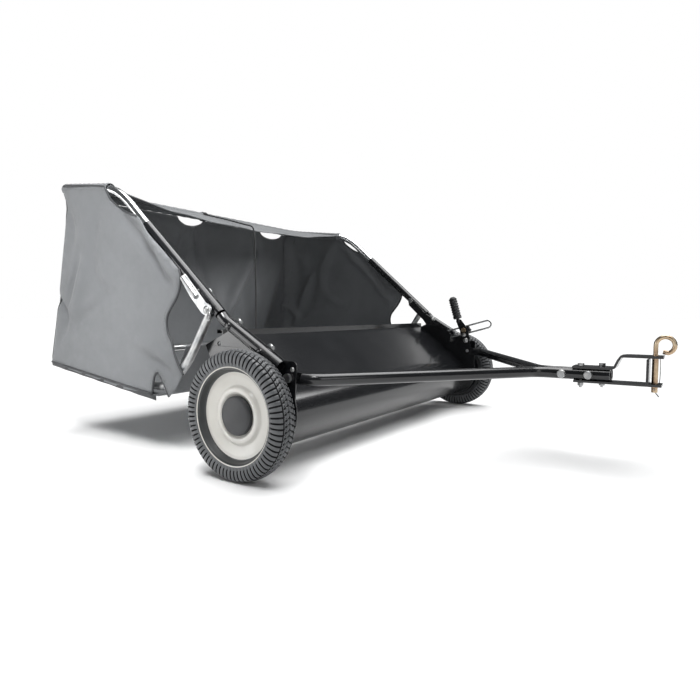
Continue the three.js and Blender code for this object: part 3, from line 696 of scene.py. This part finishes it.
def line_reach(x, z, line):
    """Distance from a point to a broken line, and how far along it lies, from 0 to 1."""
    best, place_along = 1e9, 0.0
    spans = len(line) - 1
    for i, ((ax, az), (bx, bz)) in enumerate(zip(line, line[1:])):
        dx, dz = bx - ax, bz - az
        t = clamp(((x - ax) * dx + (z - az) * dz) / (dx * dx + dz * dz))
        away = math.hypot(x - ax - dx * t, z - az - dz * t)
        if away < best:
            best, place_along = away, (i + t) / spans
    return best, place_along


def crease_height(x, z, shift):
    """How far the creases push the cloth out; each one fades towards both of its ends."""
    total = 0.0
    for line, half, height in CREASES:
        away, along = line_reach(x + shift, z, line)
        if away < 3 * half:
            fade = math.sin(math.pi * clamp(along, 0.04, 0.96)) ** 0.7
            total += CREASE_GAIN * height * math.exp(-(away / half) ** 2) * fade
    return total


def height_share(z):
    return (z - CLOTH_LOW) / (CLOTH_HIGH - CLOTH_LOW)


def rear_x(z):
    return REAR_BOTTOM[0] + (REAR_TOP[0] - REAR_BOTTOM[0]) * height_share(z)


def corner_radius(z):
    return CORNER_RADIUS_LOW + CORNER_RADIUS_GROWTH * smoothstep(CLOTH_LOW, CLOTH_HIGH, z)


def pinch(z):
    """How far the cloth of the rear corner is drawn in between the two bows."""
    share = clamp(height_share(z))
    under_bow = math.exp(-((share - 0.80) / 0.17) ** 2) * (1 - smoothstep(0.93, 1.0, share))
    return PINCH_UNDER_BOW * under_bow + PINCH_HALFWAY * math.sin(math.pi * share)


def corner_inset(distance, radius):
    """How far the rounded corner is inside the flat side, at a distance from the rear face."""
    t = clamp(distance, 0.0, radius)
    return radius - math.sqrt(max(radius * radius - (radius - t) ** 2, 0.0))


def side_point(x, z, side, lift=0.0):
    """The cloth of a side panel over a point of its flat outline."""
    distance = x - rear_x(z)
    inset = corner_inset(distance, corner_radius(z))
    middle = math.sin(math.pi * smoothstep(-760, -260, x)) * math.sin(math.pi * smoothstep(150, 640, z))
    shift = 0 if side < 0 else FAR_CREASE_SHIFT
    y = SIDE_HALF - inset - pinch(z) * math.exp(-(distance / 110) ** 2) - SIDE_DISH * middle
    y += crease_height(x, z, shift) + lift
    pull = pinch(z) * math.exp(-(distance / 70) ** 2)
    return mm(x + pull, side * y, z)


REAR_FOLDS = [
    # centre y, half width, height, from z, to z, sideways lean over the height
    (48, 16, 7, 430, 640, -70), (-96, 18, 6, 420, 630, 60), (205, 34, -12, 300, 560, 120),
    (250, 30, 9, 240, 420, -60), (-250, 30, 8, 250, 560, -70), (330, 22, 6, 420, 640, -60),
    (-330, 24, 7, 420, 640, 50), (395, 26, -7, 260, 520, 60), (-400, 28, -8, 260, 540, -50),
    (120, 26, -5, 220, 420, 40), (-150, 34, -6, 230, 470, 30), (0, 44, 4, 240, 420, 0),
]


def fold_height(y, z):
    total = 0.0
    for centre, half, height, low, high, lean in REAR_FOLDS:
        middle = centre + lean * (z - 430) / 230
        fade = smoothstep(low - 60, low + 60, z) * (1 - smoothstep(high - 60, high + 40, z))
        total += FOLD_GAIN * height * math.exp(-((y - middle) / half) ** 2) * fade
    return total


def rear_point(y, z):
    """The cloth of the rear panel: it bellies out and hangs in soft folds, and stays inside REAR_LIMIT."""
    inset = corner_inset(SIDE_HALF - pinch(z) - abs(y), corner_radius(z))
    share = clamp(height_share(z))
    outwards = REAR_BELLY * math.sin(math.pi * share) * (1 - (y / 520) ** 2) + fold_height(y, z)
    if outwards > 0:
        room = max(rear_x(z) - REAR_LIMIT, 1.0)
        outwards = room * (1 - math.exp(-outwards / room))
    pull = pinch(z) * smoothstep(380, 500, abs(y))
    return mm(rear_x(z) + inset - outwards + pull, y, z)


# centre y and half width of each opening
SCALLOPS = [(-40, 54), (365, 60), (-365, 60)]
SCALLOP_DEPTH = 22
REAR_LOW_Z = 197
REAR_HIGH_Z = 640.0


def rear_top(y):
    """The upper edge of the rear panel, with its scalloped openings under the bow."""
    top = REAR_HIGH_Z
    for centre, half in SCALLOPS:
        if abs(y - centre) < half:
            top -= SCALLOP_DEPTH * math.sqrt(1 - ((y - centre) / half) ** 2)
    return top


def split_line(line, spacing):
    """Points about a spacing apart along a broken line, without its last point."""
    spots = []
    for (ax, az), (bx, bz) in zip(line, line[1:]):
        steps = max(1, round(math.hypot(bx - ax, bz - az) / spacing))
        spots += [(ax + (bx - ax) * i / steps, az + (bz - az) * i / steps) for i in range(steps)]
    return spots


def cloth_triangles(outline, spacing):
    """Points and triangles that fill a flat outline evenly."""
    closed = outline + outline[:1]
    edge = split_line(closed, spacing)
    points = [Vector(p) for p in edge]
    loop = [(i, (i + 1) % len(edge)) for i in range(len(edge))]
    low_x, high_x = min(p[0] for p in outline), max(p[0] for p in outline)
    low_z, high_z = min(p[1] for p in outline), max(p[1] for p in outline)
    row, z = 0, low_z + spacing / 2
    while z < high_z:
        x = low_x + (spacing / 2 if row % 2 else 0)
        while x < high_x:
            if line_reach(x, z, closed)[0] > spacing * 0.55:
                points.append(Vector((x, z)))
            x += spacing
        z += spacing * 0.87
        row += 1
    found = delaunay_2d_cdt(points, loop, [], 1, 1e-6)
    flat, faces = found[0], found[2]
    return flat, [tuple(face) for face in faces if middle_inside(face, flat, outline)]


def inside_outline(x, z, outline):
    inside = False
    for (ax, az), (bx, bz) in zip(outline, outline[1:] + outline[:1]):
        if (az > z) != (bz > z) and x < (bx - ax) * (z - az) / (bz - az) + ax:
            inside = not inside
    return inside


def thicken(piece, thickness, edge_group=None):
    """Gives cloth its thickness; with an edge group, cloth outside that group is thinner."""
    solid = piece.modifiers.new("cloth", "SOLIDIFY")
    solid.thickness = thickness
    solid.offset = 0
    if edge_group:
        solid.vertex_group = edge_group
        solid.thickness_vertex_group = 0.4
    bpy.context.view_layer.update()
    evaluated = piece.evaluated_get(bpy.context.evaluated_depsgraph_get())
    mesh = bpy.data.meshes.new_from_object(evaluated)
    piece.modifiers.clear()
    piece.data = mesh


def sheet_area(points, faces):
    total = 0.0
    for face in faces:
        corners = [Vector(points[i]) for i in face]
        for b, c in zip(corners[1:], corners[2:]):
            total += (b - corners[0]).cross(c - corners[0]).length / 2
    return total


def hem_group(piece, flat_points, outline):
    group = piece.vertex_groups.new(name="hem")
    closed = outline + outline[:1]
    for i, (x, z) in enumerate(flat_points):
        away = line_reach(x, z, closed)[0]
        group.add([i], 1.0 if away < HEM_WIDTH else 0.0, "REPLACE")
    return group.name


def middle_inside(face, flat, outline):
    x = sum(flat[i][0] for i in face) / 3
    z = sum(flat[i][1] for i in face) / 3
    return inside_outline(x, z, outline)


def make_side_panel(label, side, material):
    flat, faces = cloth_triangles(SIDE_OUTLINE, CLOTH_SPACING)
    points = [side_point(x, z, side) for x, z in flat]
    panel = mesh_object(f"hopper_side_{label}", points, faces, material)
    group = hem_group(panel, flat, SIDE_OUTLINE)
    outward(panel)
    thicken(panel, 0.0024, group)
    place(panel, "hopper", "hopper_fabric", f"bag_side_{label}")
    return panel, sheet_area(points, faces)


def make_rear(material):
    columns, rows = 132, 52
    points = []
    for i in range(rows + 1):
        for j in range(columns + 1):
            share = 2 * j / columns - 1
            top = rear_top(share * (SIDE_HALF - 18))
            z = REAR_LOW_Z + (top - REAR_LOW_Z) * i / rows
            half = SIDE_HALF - pinch(z) - CORNER_CUT * corner_radius(z)
            points.append(rear_point(share * half, z))
    faces = grid_faces(rows, columns)
    rear = mesh_object("hopper_rear", points, faces, material)
    thicken(rear, 0.0012)
    place(rear, "hopper", "hopper_fabric", "bag_rear")
    return rear, sheet_area(points, faces)


FLOOR_LINE = [(-773, 195), (-700, 185), (-600, 172), (-500, 159), (-400, 146), (-312, 134.5), (-298, 135),
              (-288, 146), (-272, 178), (-254, 214), (-236, 250)]
FLOOR_SIDE = 497
APRON_INSET = 29
FLOOR_SAG = 11
FLOOR_RIPPLE = 2.2


def make_floor(material):
    """The floor sags between the side hems, and its front edge stands up as an apron at the housing."""
    line = smooth_line([(x, z, 0) for x, z in FLOOR_LINE], 6)
    columns = 110
    points = []
    for spot in line:
        x, z = spot.x, spot.y
        apron = smoothstep(-300, -286, x)
        half = FLOOR_SIDE - APRON_INSET * apron
        for j in range(columns + 1):
            share = 2 * j / columns - 1
            y = share * half
            middle = 1 - share ** 4
            sag = FLOOR_SAG * middle * math.sin(math.pi * smoothstep(-790, -290, x)) * (1 - apron)
            ripple = FLOOR_RIPPLE * math.sin(y / 41 + x / 90) * math.sin(y / 97 + 1) * middle
            corner = corner_inset(FLOOR_SIDE + 1 - abs(y), 46) if x < -700 else 0.0
            back = corner * (1 - smoothstep(-773, -715, x))
            points.append(mm(x + back - apron * ripple * 0.6, y, z - sag + ripple * (1 - apron)))
    faces = grid_faces(len(line) - 1, columns)
    floor = mesh_object("hopper_floor", points, faces, material)
    thicken(floor, 0.0014)
    place(floor, "hopper", "hopper_fabric", "bag_floor")
    return floor, sheet_area(points, faces)


ARM_Y = 489.8
ROOF_HALF = 482
ROOF_FRONT = -478


def arm_height(x):
    """Height of the bow's side arm, which slopes down from the rear to the front."""
    return BOW_REAR[1] - 32 * (x - BOW_REAR[0]) / 263


def roof_height(x, y):
    """The roof hangs from the bow's three sides and sags most in the middle of its free front edge."""
    along = max((x - BOW_REAR[0]) / 223, 0.0)
    share = min(abs(y) / ROOF_HALF, 1.0)
    edge = arm_height(x) + 9 * (1 - smoothstep(0, 1, along) * 0.6)
    sag = (1 - share ** 2.2) * (3 + 37 * along ** 1.1)
    ripple = 2.0 * math.sin(y / 33) * (1 - share) + 3.2 * math.exp(-((abs(y) - 300) / 40) ** 2)
    return edge - sag - ripple * along


def roof_front(y):
    return ROOF_FRONT - 26 * (1 - (y / ROOF_FRONT) ** 2) * 0.55


def make_roof(material):
    columns, rows = 120, 26
    points = []
    for i in range(rows + 1):
        for j in range(columns + 1):
            y = ROOF_HALF * (2 * j / columns - 1)
            rear = -708 + corner_inset(484 - abs(y), 50)
            x = rear + (roof_front(y) - rear) * i / rows
            points.append(mm(x, y, roof_height(x, y)))
    faces = grid_faces(rows, columns)
    roof = mesh_object("hopper_roof", points, faces, material)
    group = roof.vertex_groups.new(name="hem")
    near_edge = [k for k in range(len(points)) if k // (columns + 1) >= rows - 2]
    group.add(near_edge, 1.0, "REPLACE")
    thicken(roof, 0.0024, group.name)
    place(roof, "hopper", "hopper_fabric", "bag_roof")
    return roof, sheet_area(points, faces)


def bow_line(first_x):
    """The top bow's centre line from one side arm round the back to the other."""
    x, z = BOW_REAR
    front_z = arm_height(first_x)
    ends = [(first_x, -ARM_Y, front_z), (x, -ARM_Y, z), (x, ARM_Y, z), (first_x, ARM_Y, front_z)]
    return rounded_line([mm(*p) for p in ends], 0.060, 10)


def resample(line, step):
    """Points an even step apart along a line."""
    spots, left = [line[0]], 0.0
    for a, b in zip(line, line[1:]):
        length = (b - a).length
        place_along = step - left
        while place_along <= length:
            spots.append(a + (b - a) * (place_along / length))
            place_along += step
        left = (left + length) % step if length else left
    return spots


SLEEVE_RADIUS = 0.0122


def make_sleeves(material):
    """The cloth tunnel that the top bow runs through."""
    line = resample(bow_line(-472), 0.008)
    radii = []
    for i, spot in enumerate(line):
        flare = 0.0006 if min(i, len(line) - 1 - i) < 2 else 0.0
        radii.append(SLEEVE_RADIUS + 0.0005 * math.sin(spot.x * 310 + spot.y * 170) + flare)
    points, faces = tube_data(line, radii, 20, caps=False)
    sleeves = mesh_object("hopper_sleeves", points, faces, material)
    thicken(sleeves, 0.0012)
    return place(sleeves, "hopper", "hopper_fabric")


def hem_z(x, front_z):
    """Height of the line along the floor that rises from front_z to the rear."""
    return front_z + (HEM_REAR[1] - front_z) * (HEM_FRONT_X - x) / (HEM_FRONT_X - HEM_REAR[0])


def corner_piping(side):
    spots = []
    low, high, steps = 199, 638, 29
    for i in range(steps + 1):
        z = low + (high - low) * i / steps
        spots.append(side_point(rear_x(z) + CORNER_CUT * corner_radius(z), z, side, 2.4))
    return tube_data(smooth_line(spots, 2), 0.0015, 8)


def hem_piping(side):
    spots = []
    for i in range(29):
        x = HEM_FRONT_X - 462 * i / 30
        spots.append(side_point(x, hem_z(x, 137.5), side, 1.0))
    return tube_data(spots, 0.0024, 8)


def hem_flange(side):
    """The doubled edge that hangs below the floor's seam."""
    count = 30
    points = []
    for i in range(count):
        x = -300 - 470 * i / (count - 1)
        edge = side_point(x, hem_z(x, 134.5) + 3, side)
        points += [edge, edge + Vector((0, -side * 0.0012 * math.sin(i * 1.3), -0.012))]
    faces = [(a, a + 1, a + 3, a + 2) for a in range(0, 2 * count - 2, 2)]
    return points, faces


def make_seams(material):
    """Piping on the sewn edges, and the double hem along the floor."""
    parts = []
    for side in (-1, 1):
        parts += [corner_piping(side), hem_piping(side), hem_flange(side)]
    seams = many("hopper_seams", parts, material)
    thicken(seams, 0.0016)
    return place(seams, "hopper", "hopper_fabric")


# runs of outline corners, first and last, that are free edges
BOUND_RUNS = ((0, 4), (4, 10), (13, 24), (26, 32))


def make_edge_binding(material):
    """A rolled binding along the free edges of the side panels."""
    parts = []
    for side in (-1, 1):
        for first, last in BOUND_RUNS:
            spots = [side_point(*corner, side) for corner in SIDE_OUTLINE[first:last + 1]]
            parts.append(tube_data(smooth_line(spots, 5), 0.0026, 10))
    return place(many("hopper_binding", parts, material), "hopper", "hopper_fabric")


STITCH_STEP = 0.007
STITCH_LENGTH = 0.0038
STITCH_RADIUS = 0.0006
STITCH_INSET = 9


def stitch_parts(line):
    parts = []
    spots = resample(line, STITCH_STEP)
    for a, b in zip(spots, spots[1:]):
        whole = (b - a).normalized() * STITCH_LENGTH
        parts.append(tube_data([a, a + whole * 0.5, a + whole], [0.0003, STITCH_RADIUS, 0.0003], 5))
    return parts


def inset_outline(outline, inset):
    """Each corner of the outline moved inwards; corners with no room for that are left out."""
    line = []
    count = len(outline)
    for i in range(count + 1):
        x, z = outline[i % count]
        before, after = outline[(i - 1) % count], outline[(i + 1) % count]
        along = Vector((after[0] - before[0], after[1] - before[1])).normalized()
        for turn in (1, -1):
            spot = (x - turn * along.y * inset, z + turn * along.x * inset)
            if inside_outline(*spot, outline):
                line.append(spot)
                break
    return line


def make_stitches(material):
    """Rows of thread beside the hems."""
    line = split_line(inset_outline(SIDE_OUTLINE, STITCH_INSET), 7)
    parts = []
    for side in (-1, 1):
        parts += stitch_parts([side_point(x, z, side, 1.4) for x, z in line])
    return place(many("hopper_stitches", parts, material), "hopper", "hopper_fabric")


def make_hopper(materials):
    cloth = materials["hopper_fabric"]
    sleeves = make_sleeves(cloth)
    # seams and edge binding take the darker tape finish, painted shade of the folded hems
    seams = make_seams(materials["tape_painted_shade"])
    binding = make_edge_binding(materials["tape_painted_shade"])
    thread = make_stitches(cloth)
    panels = {label: make_side_panel(label, side, cloth) for label, side in SIDES.items()}
    rear, rear_area = make_rear(cloth)
    floor, floor_area = make_floor(cloth)
    roof, roof_area = make_roof(cloth)


# ---- brush
BRUSH = (-53.998, 107.24)
BRISTLE_END = 0.457
BRISTLE_STEP = 0.0085
BRISTLE_ROOT = 0.037
BRISTLE_ROWS = (-0.004, 0.0, 0.004)
BRISTLE_RADII = [0.0013, 0.0012, 0.0007]
CHANNEL_END = 0.461
CHANNEL_SECTION = [
    (-0.010, 0.0305), (-0.010, 0.0392), (-0.0066, 0.0398), (-0.0060, 0.0335),
    (0.0060, 0.0335), (0.0066, 0.0398), (0.010, 0.0392), (0.010, 0.0305),
]


def bristle_parts(centre, out, side):
    """Two bristles from each root, each with a lean and a length of its own."""
    parts = []
    y = -BRISTLE_END
    while y <= BRISTLE_END:
        for row in BRISTLE_ROWS:
            root = centre + out * BRISTLE_ROOT + side * row + Vector((0, y + rng.uniform(-0.002, 0.002), 0))
            for _ in range(2):
                lean = side * rng.uniform(-0.006, 0.006) + Vector((0, rng.uniform(-0.006, 0.006), 0))
                tip = root + out * rng.uniform(0.0455, 0.0485) + lean
                parts.append(tube_data([root, (root + tip) / 2 + lean * 0.1, tip], BRISTLE_RADII, 4))
        y += BRISTLE_STEP
    return parts


def make_brush(materials):
    """Channels with rows of bristle bundles, in place of the plain strips."""
    centre = mm(BRUSH[0], 0, BRUSH[1])
    for number in range(4):
        angle = number * math.pi / 2 + math.pi / 4
        out = Vector((math.cos(angle), 0, math.sin(angle)))
        side = Vector((-math.sin(angle), 0, math.cos(angle)))
        bundle = many(f"bristles_{number + 1}", bristle_parts(centre, out, side), materials["bristle"])
        place(bundle, "brush_reel", "bristle", f"brush_strip_{number + 1}")
        points = []
        for end in (-CHANNEL_END, CHANNEL_END):
            points += [centre + side * u + out * v + Vector((0, end, 0)) for u, v in CHANNEL_SECTION]
        count = len(CHANNEL_SECTION)
        channel = mesh_object(f"bristle_channel_{number + 1}", points,
                              ring_faces(2, count) + end_caps(2, count), materials["bright_zinc"], False)
        place(outward(channel), "brush_reel", "bright_zinc")


# ---- fasteners and small parts
TUBE_BOLTS = [(-68, 296), (18, 246)]
PLATE_SCREWS = [(80, 214), (-118, 120), (-60, 40)]
BRACE_BOLT = (-122, 329)
COTTER = (-112, 316)


def cotter_hoop(side):
    """The open wire hoop beside the brace bolt."""
    x, z = COTTER
    hoop = [mm(x + 5 * math.cos(a), side * (511.5 + math.sin(2 * a)), z + 9 * math.sin(a))
            for a in circle(28, 25)]
    return tube_data(hoop, 0.0011, 8)


def make_fasteners(materials):
    """Bolt heads, nuts, screws and cotters, each kind as one piece on each side."""
    for label, side in SIDES.items():
        heads, nuts, screws = [], [], []
        for x, z in TUBE_BOLTS:
            heads += bolt_data(mm(x, side * 502.0, z), (0, side, 0), 0.0062, 0.0016, 0.0008, 20)
            spot = mm(x + 2, side * 473.9, z + 7)
            nuts += bolt_data(spot, (0, -side, 0), 0.0068, 0.0062)
            nuts.append(tube_data([spot, spot + Vector((0, -side * 0.011, 0))], 0.0038, 12))
        for x, z in PLATE_SCREWS:
            screws += bolt_data(mm(x, side * 477, z), (0, side, 0), 0.0036, 0.0022, 0.0008)
        spot = mm(BRACE_BOLT[0], side * 509.1, BRACE_BOLT[1])
        brace = bolt_data(spot, (0, side, 0), 0.0062, 0.0036, 0.0012)
        kinds = [("tube_bolts", heads, "chassis", "black_paint"),
                 ("flange_nuts", nuts, "chassis", "bright_zinc"),
                 ("plate_screws", screws, "chassis", "bright_zinc"),
                 ("brace_bolts", brace, "hopper", "bright_zinc"),
                 ("brace_cotters", [cotter_hoop(side)], "hopper", "bright_zinc")]
        for name, parts, body, slot in kinds:
            place(many(f"{name}_{label}", parts, materials[slot]), body, slot)


GRIP_STEPS = 88
GRIP_RADIUS = 0.0131
GRIP_RIBS = 9
GRIP_RIB_HEIGHT = 0.0012


def lever_point(distance):
    """A point of the lever's upper arm, a distance above its bend."""
    return mm(36 - 0.28 * distance, 453.5, 297 + 0.96 * distance)


def make_grip(materials):
    """The lever's ribbed grip: rings of ribs round a rubber sleeve with a rolled collar."""
    start, end = lever_point(8), lever_point(83)
    line, radii = [], []
    for i in range(GRIP_STEPS + 1):
        t = i / GRIP_STEPS
        line.append(start + (end - start) * t)
        rib = GRIP_RIB_HEIGHT * math.cos(2 * math.pi * GRIP_RIBS * t) if 0.1 < t < 0.88 else 0.0
        collar = 0.0012 * math.exp(-((t - 0.04) / 0.03) ** 2)
        tip = 1 - smoothstep(0.9, 1.0, t) * 0.45
        radii.append((GRIP_RADIUS + rib + collar) * tip)
    grip = outward(tube("lever_grip_ribbed", line, radii, materials["grip_rubber"], 28))
    soften_edges(grip, 0.0006, 50)
    place(grip, "drawbar", "grip_rubber", "lever_grip")


def make_drawbar_trim(materials):
    """The lever's two bolts and the thin wire beside the hitch pin."""
    zinc = materials["bright_zinc"]
    parts = bolt_data(mm(64, 451.2, 232), (0, -1, 0), 0.0062, 0.0055, 0.001)
    parts += bolt_data(mm(57, 451.2, 250), (0, -1, 0), 0.0055, 0.005, 0.001)
    place(many("lever_bolts", parts, zinc), "drawbar", "bright_zinc")
    wire = [mm(662, 6, 176), mm(663, 8, 190), mm(663, 8, 215), mm(662, 6, 229.5)]
    place(tube("hitch_wire", smooth_line(wire, 6), 0.0009, zinc, 8), "drawbar", "bright_zinc")


# ---- frame nodes
BEVEL_WIDTH = 0.0004
BEVEL_WIDTHS = {"housing_cover": 0.0007, "lever_grip": 0.001}
GUIDE_PLATE_X = 3


def dress_nodes(materials):
    """Gives every CAD node its finish and soft edges; its mesh keeps its shape."""
    slots = {part["node"]: part["material_slot"] for part in frame["record"]["subparts"]}
    for name, node in frame["nodes"].items():
        mesh = node.data
        mesh.materials.clear()
        mesh.materials.append(materials[slots[name]])
        custom = mesh.attributes.get("custom_normal")
        if custom:
            mesh.attributes.remove(custom)
        for polygon in mesh.polygons:
            polygon.material_index = 0
        if name == "depth_guide":
            paint_guide_plate(mesh, materials["black_paint"])
        mesh.shade_smooth()
        weld = node.modifiers.new("weld", "WELD")
        weld.merge_threshold = 0.00001
        soften_edges(node, BEVEL_WIDTHS.get(name, BEVEL_WIDTH))


def paint_guide_plate(mesh, paint):
    """The depth guide's wire is bright; the plate behind it is painted."""
    mesh.materials.append(paint)
    limit = mm(GUIDE_PLATE_X, 0, 0).x
    for polygon in mesh.polygons:
        polygon.material_index = int(polygon.center.x < limit)


# ---- stage
STAGE_HALF = 30.0
STUDIO_TINT = (0.93, 0.97, 1.0, 1.0)
STUDIO_STRENGTH = 0.10
SUN_STRENGTH = 3.55
SUN_ANGLE = 55
SUN_TILT = (-12, 2)
AREA_LIGHTS = [
    # name, place, target, size, power, spread in degrees
    ("near_left", (-2.3, -2.6, 0.6), (-0.1, -0.5, 0.3), (1.7, 1.4), 29, 180),
    ("grazing", (0.2, -1.1, 1.3), (-0.42, -0.5, 0.25), (0.4, 0.4), 2.6, 60),
    ("front", (2.8, -1.5, 1.5), (0.0, 0.0, 0.3), (1.4, 1.4), 10, 180),
    ("inside", (0.9, 1.0, 1.3), (-0.6, 0.0, 0.4), (0.7, 0.7), 3.5, 60),
    ("far_sky", (-0.24, 2.9, 1.4), (0.0, 0.3, 0.2), (1.2, 0.3), 1.1, 180),
]


def area_light(name, location, target, size, power, spread):
    data = bpy.data.lights.new(name, "AREA")
    data.shape = "RECTANGLE"
    data.size, data.size_y = size
    data.energy = power
    data.spread = math.radians(spread)
    light = add_object(name, data)
    light.location = location
    light.visible_camera = False
    aim(light, Vector(target) - Vector(location))


def sun_light():
    data = bpy.data.lights.new("overhead", "SUN")
    data.energy = SUN_STRENGTH
    data.angle = math.radians(SUN_ANGLE)
    sun = add_object("overhead", data)
    sun.rotation_euler = (math.radians(SUN_TILT[0]), math.radians(SUN_TILT[1]), 0)


def make_floor_plane():
    finish = Finish("stage_floor", Roughness=0.6, Specular_IOR_Level=0.0)
    tone = finish.ramp(finish.noise(2, 2), (0.3, (0.93, 0.93, 0.93)), (0.7, (0.94, 0.94, 0.94)))
    finish.color(tone)
    corners = [(x * STAGE_HALF, y * STAGE_HALF, 0) for x, y in ((-1, -1), (1, -1), (1, 1), (-1, 1))]
    mesh_object("stage_floor", corners, [(0, 1, 2, 3)], finish.material)


def make_world():
    """Dim cool light all round, with a white backdrop that only the camera sees."""
    world = bpy.data.worlds.new("studio")
    world.use_nodes = True
    tree = world.node_tree
    studio = tree.nodes["Background"]
    studio.inputs["Color"].default_value = STUDIO_TINT
    studio.inputs["Strength"].default_value = STUDIO_STRENGTH
    backdrop = tree.nodes.new("ShaderNodeBackground")
    backdrop.inputs["Color"].default_value = (1.0, 1.0, 1.0, 1.0)
    backdrop.inputs["Strength"].default_value = 1.0
    seen = tree.nodes.new("ShaderNodeLightPath").outputs["Is Camera Ray"]
    mix = tree.nodes.new("ShaderNodeMixShader")
    tree.links.new(seen, mix.inputs["Fac"])
    tree.links.new(studio.outputs["Background"], mix.inputs[1])
    tree.links.new(backdrop.outputs["Background"], mix.inputs[2])
    tree.links.new(mix.outputs["Shader"], tree.nodes["World Output"].inputs["Surface"])
    bpy.context.scene.world = world


def make_stage():
    make_floor_plane()
    make_world()
    sun_light()
    for settings in AREA_LIGHTS:
        area_light(*settings)
    bpy.context.scene.view_settings.view_transform = "Standard"
    bpy.context.scene.view_settings.look = "None"


make_camera()
materials = make_materials()
make_rope(materials["rope_braid"])
dress_nodes(materials)
for label, side in SIDES.items():
    make_tyre(label, side, materials)
    make_rim(label, side, materials)
make_hopper(materials)
make_brush(materials)
make_fasteners(materials)
make_grip(materials)
make_drawbar_trim(materials)
make_stage()
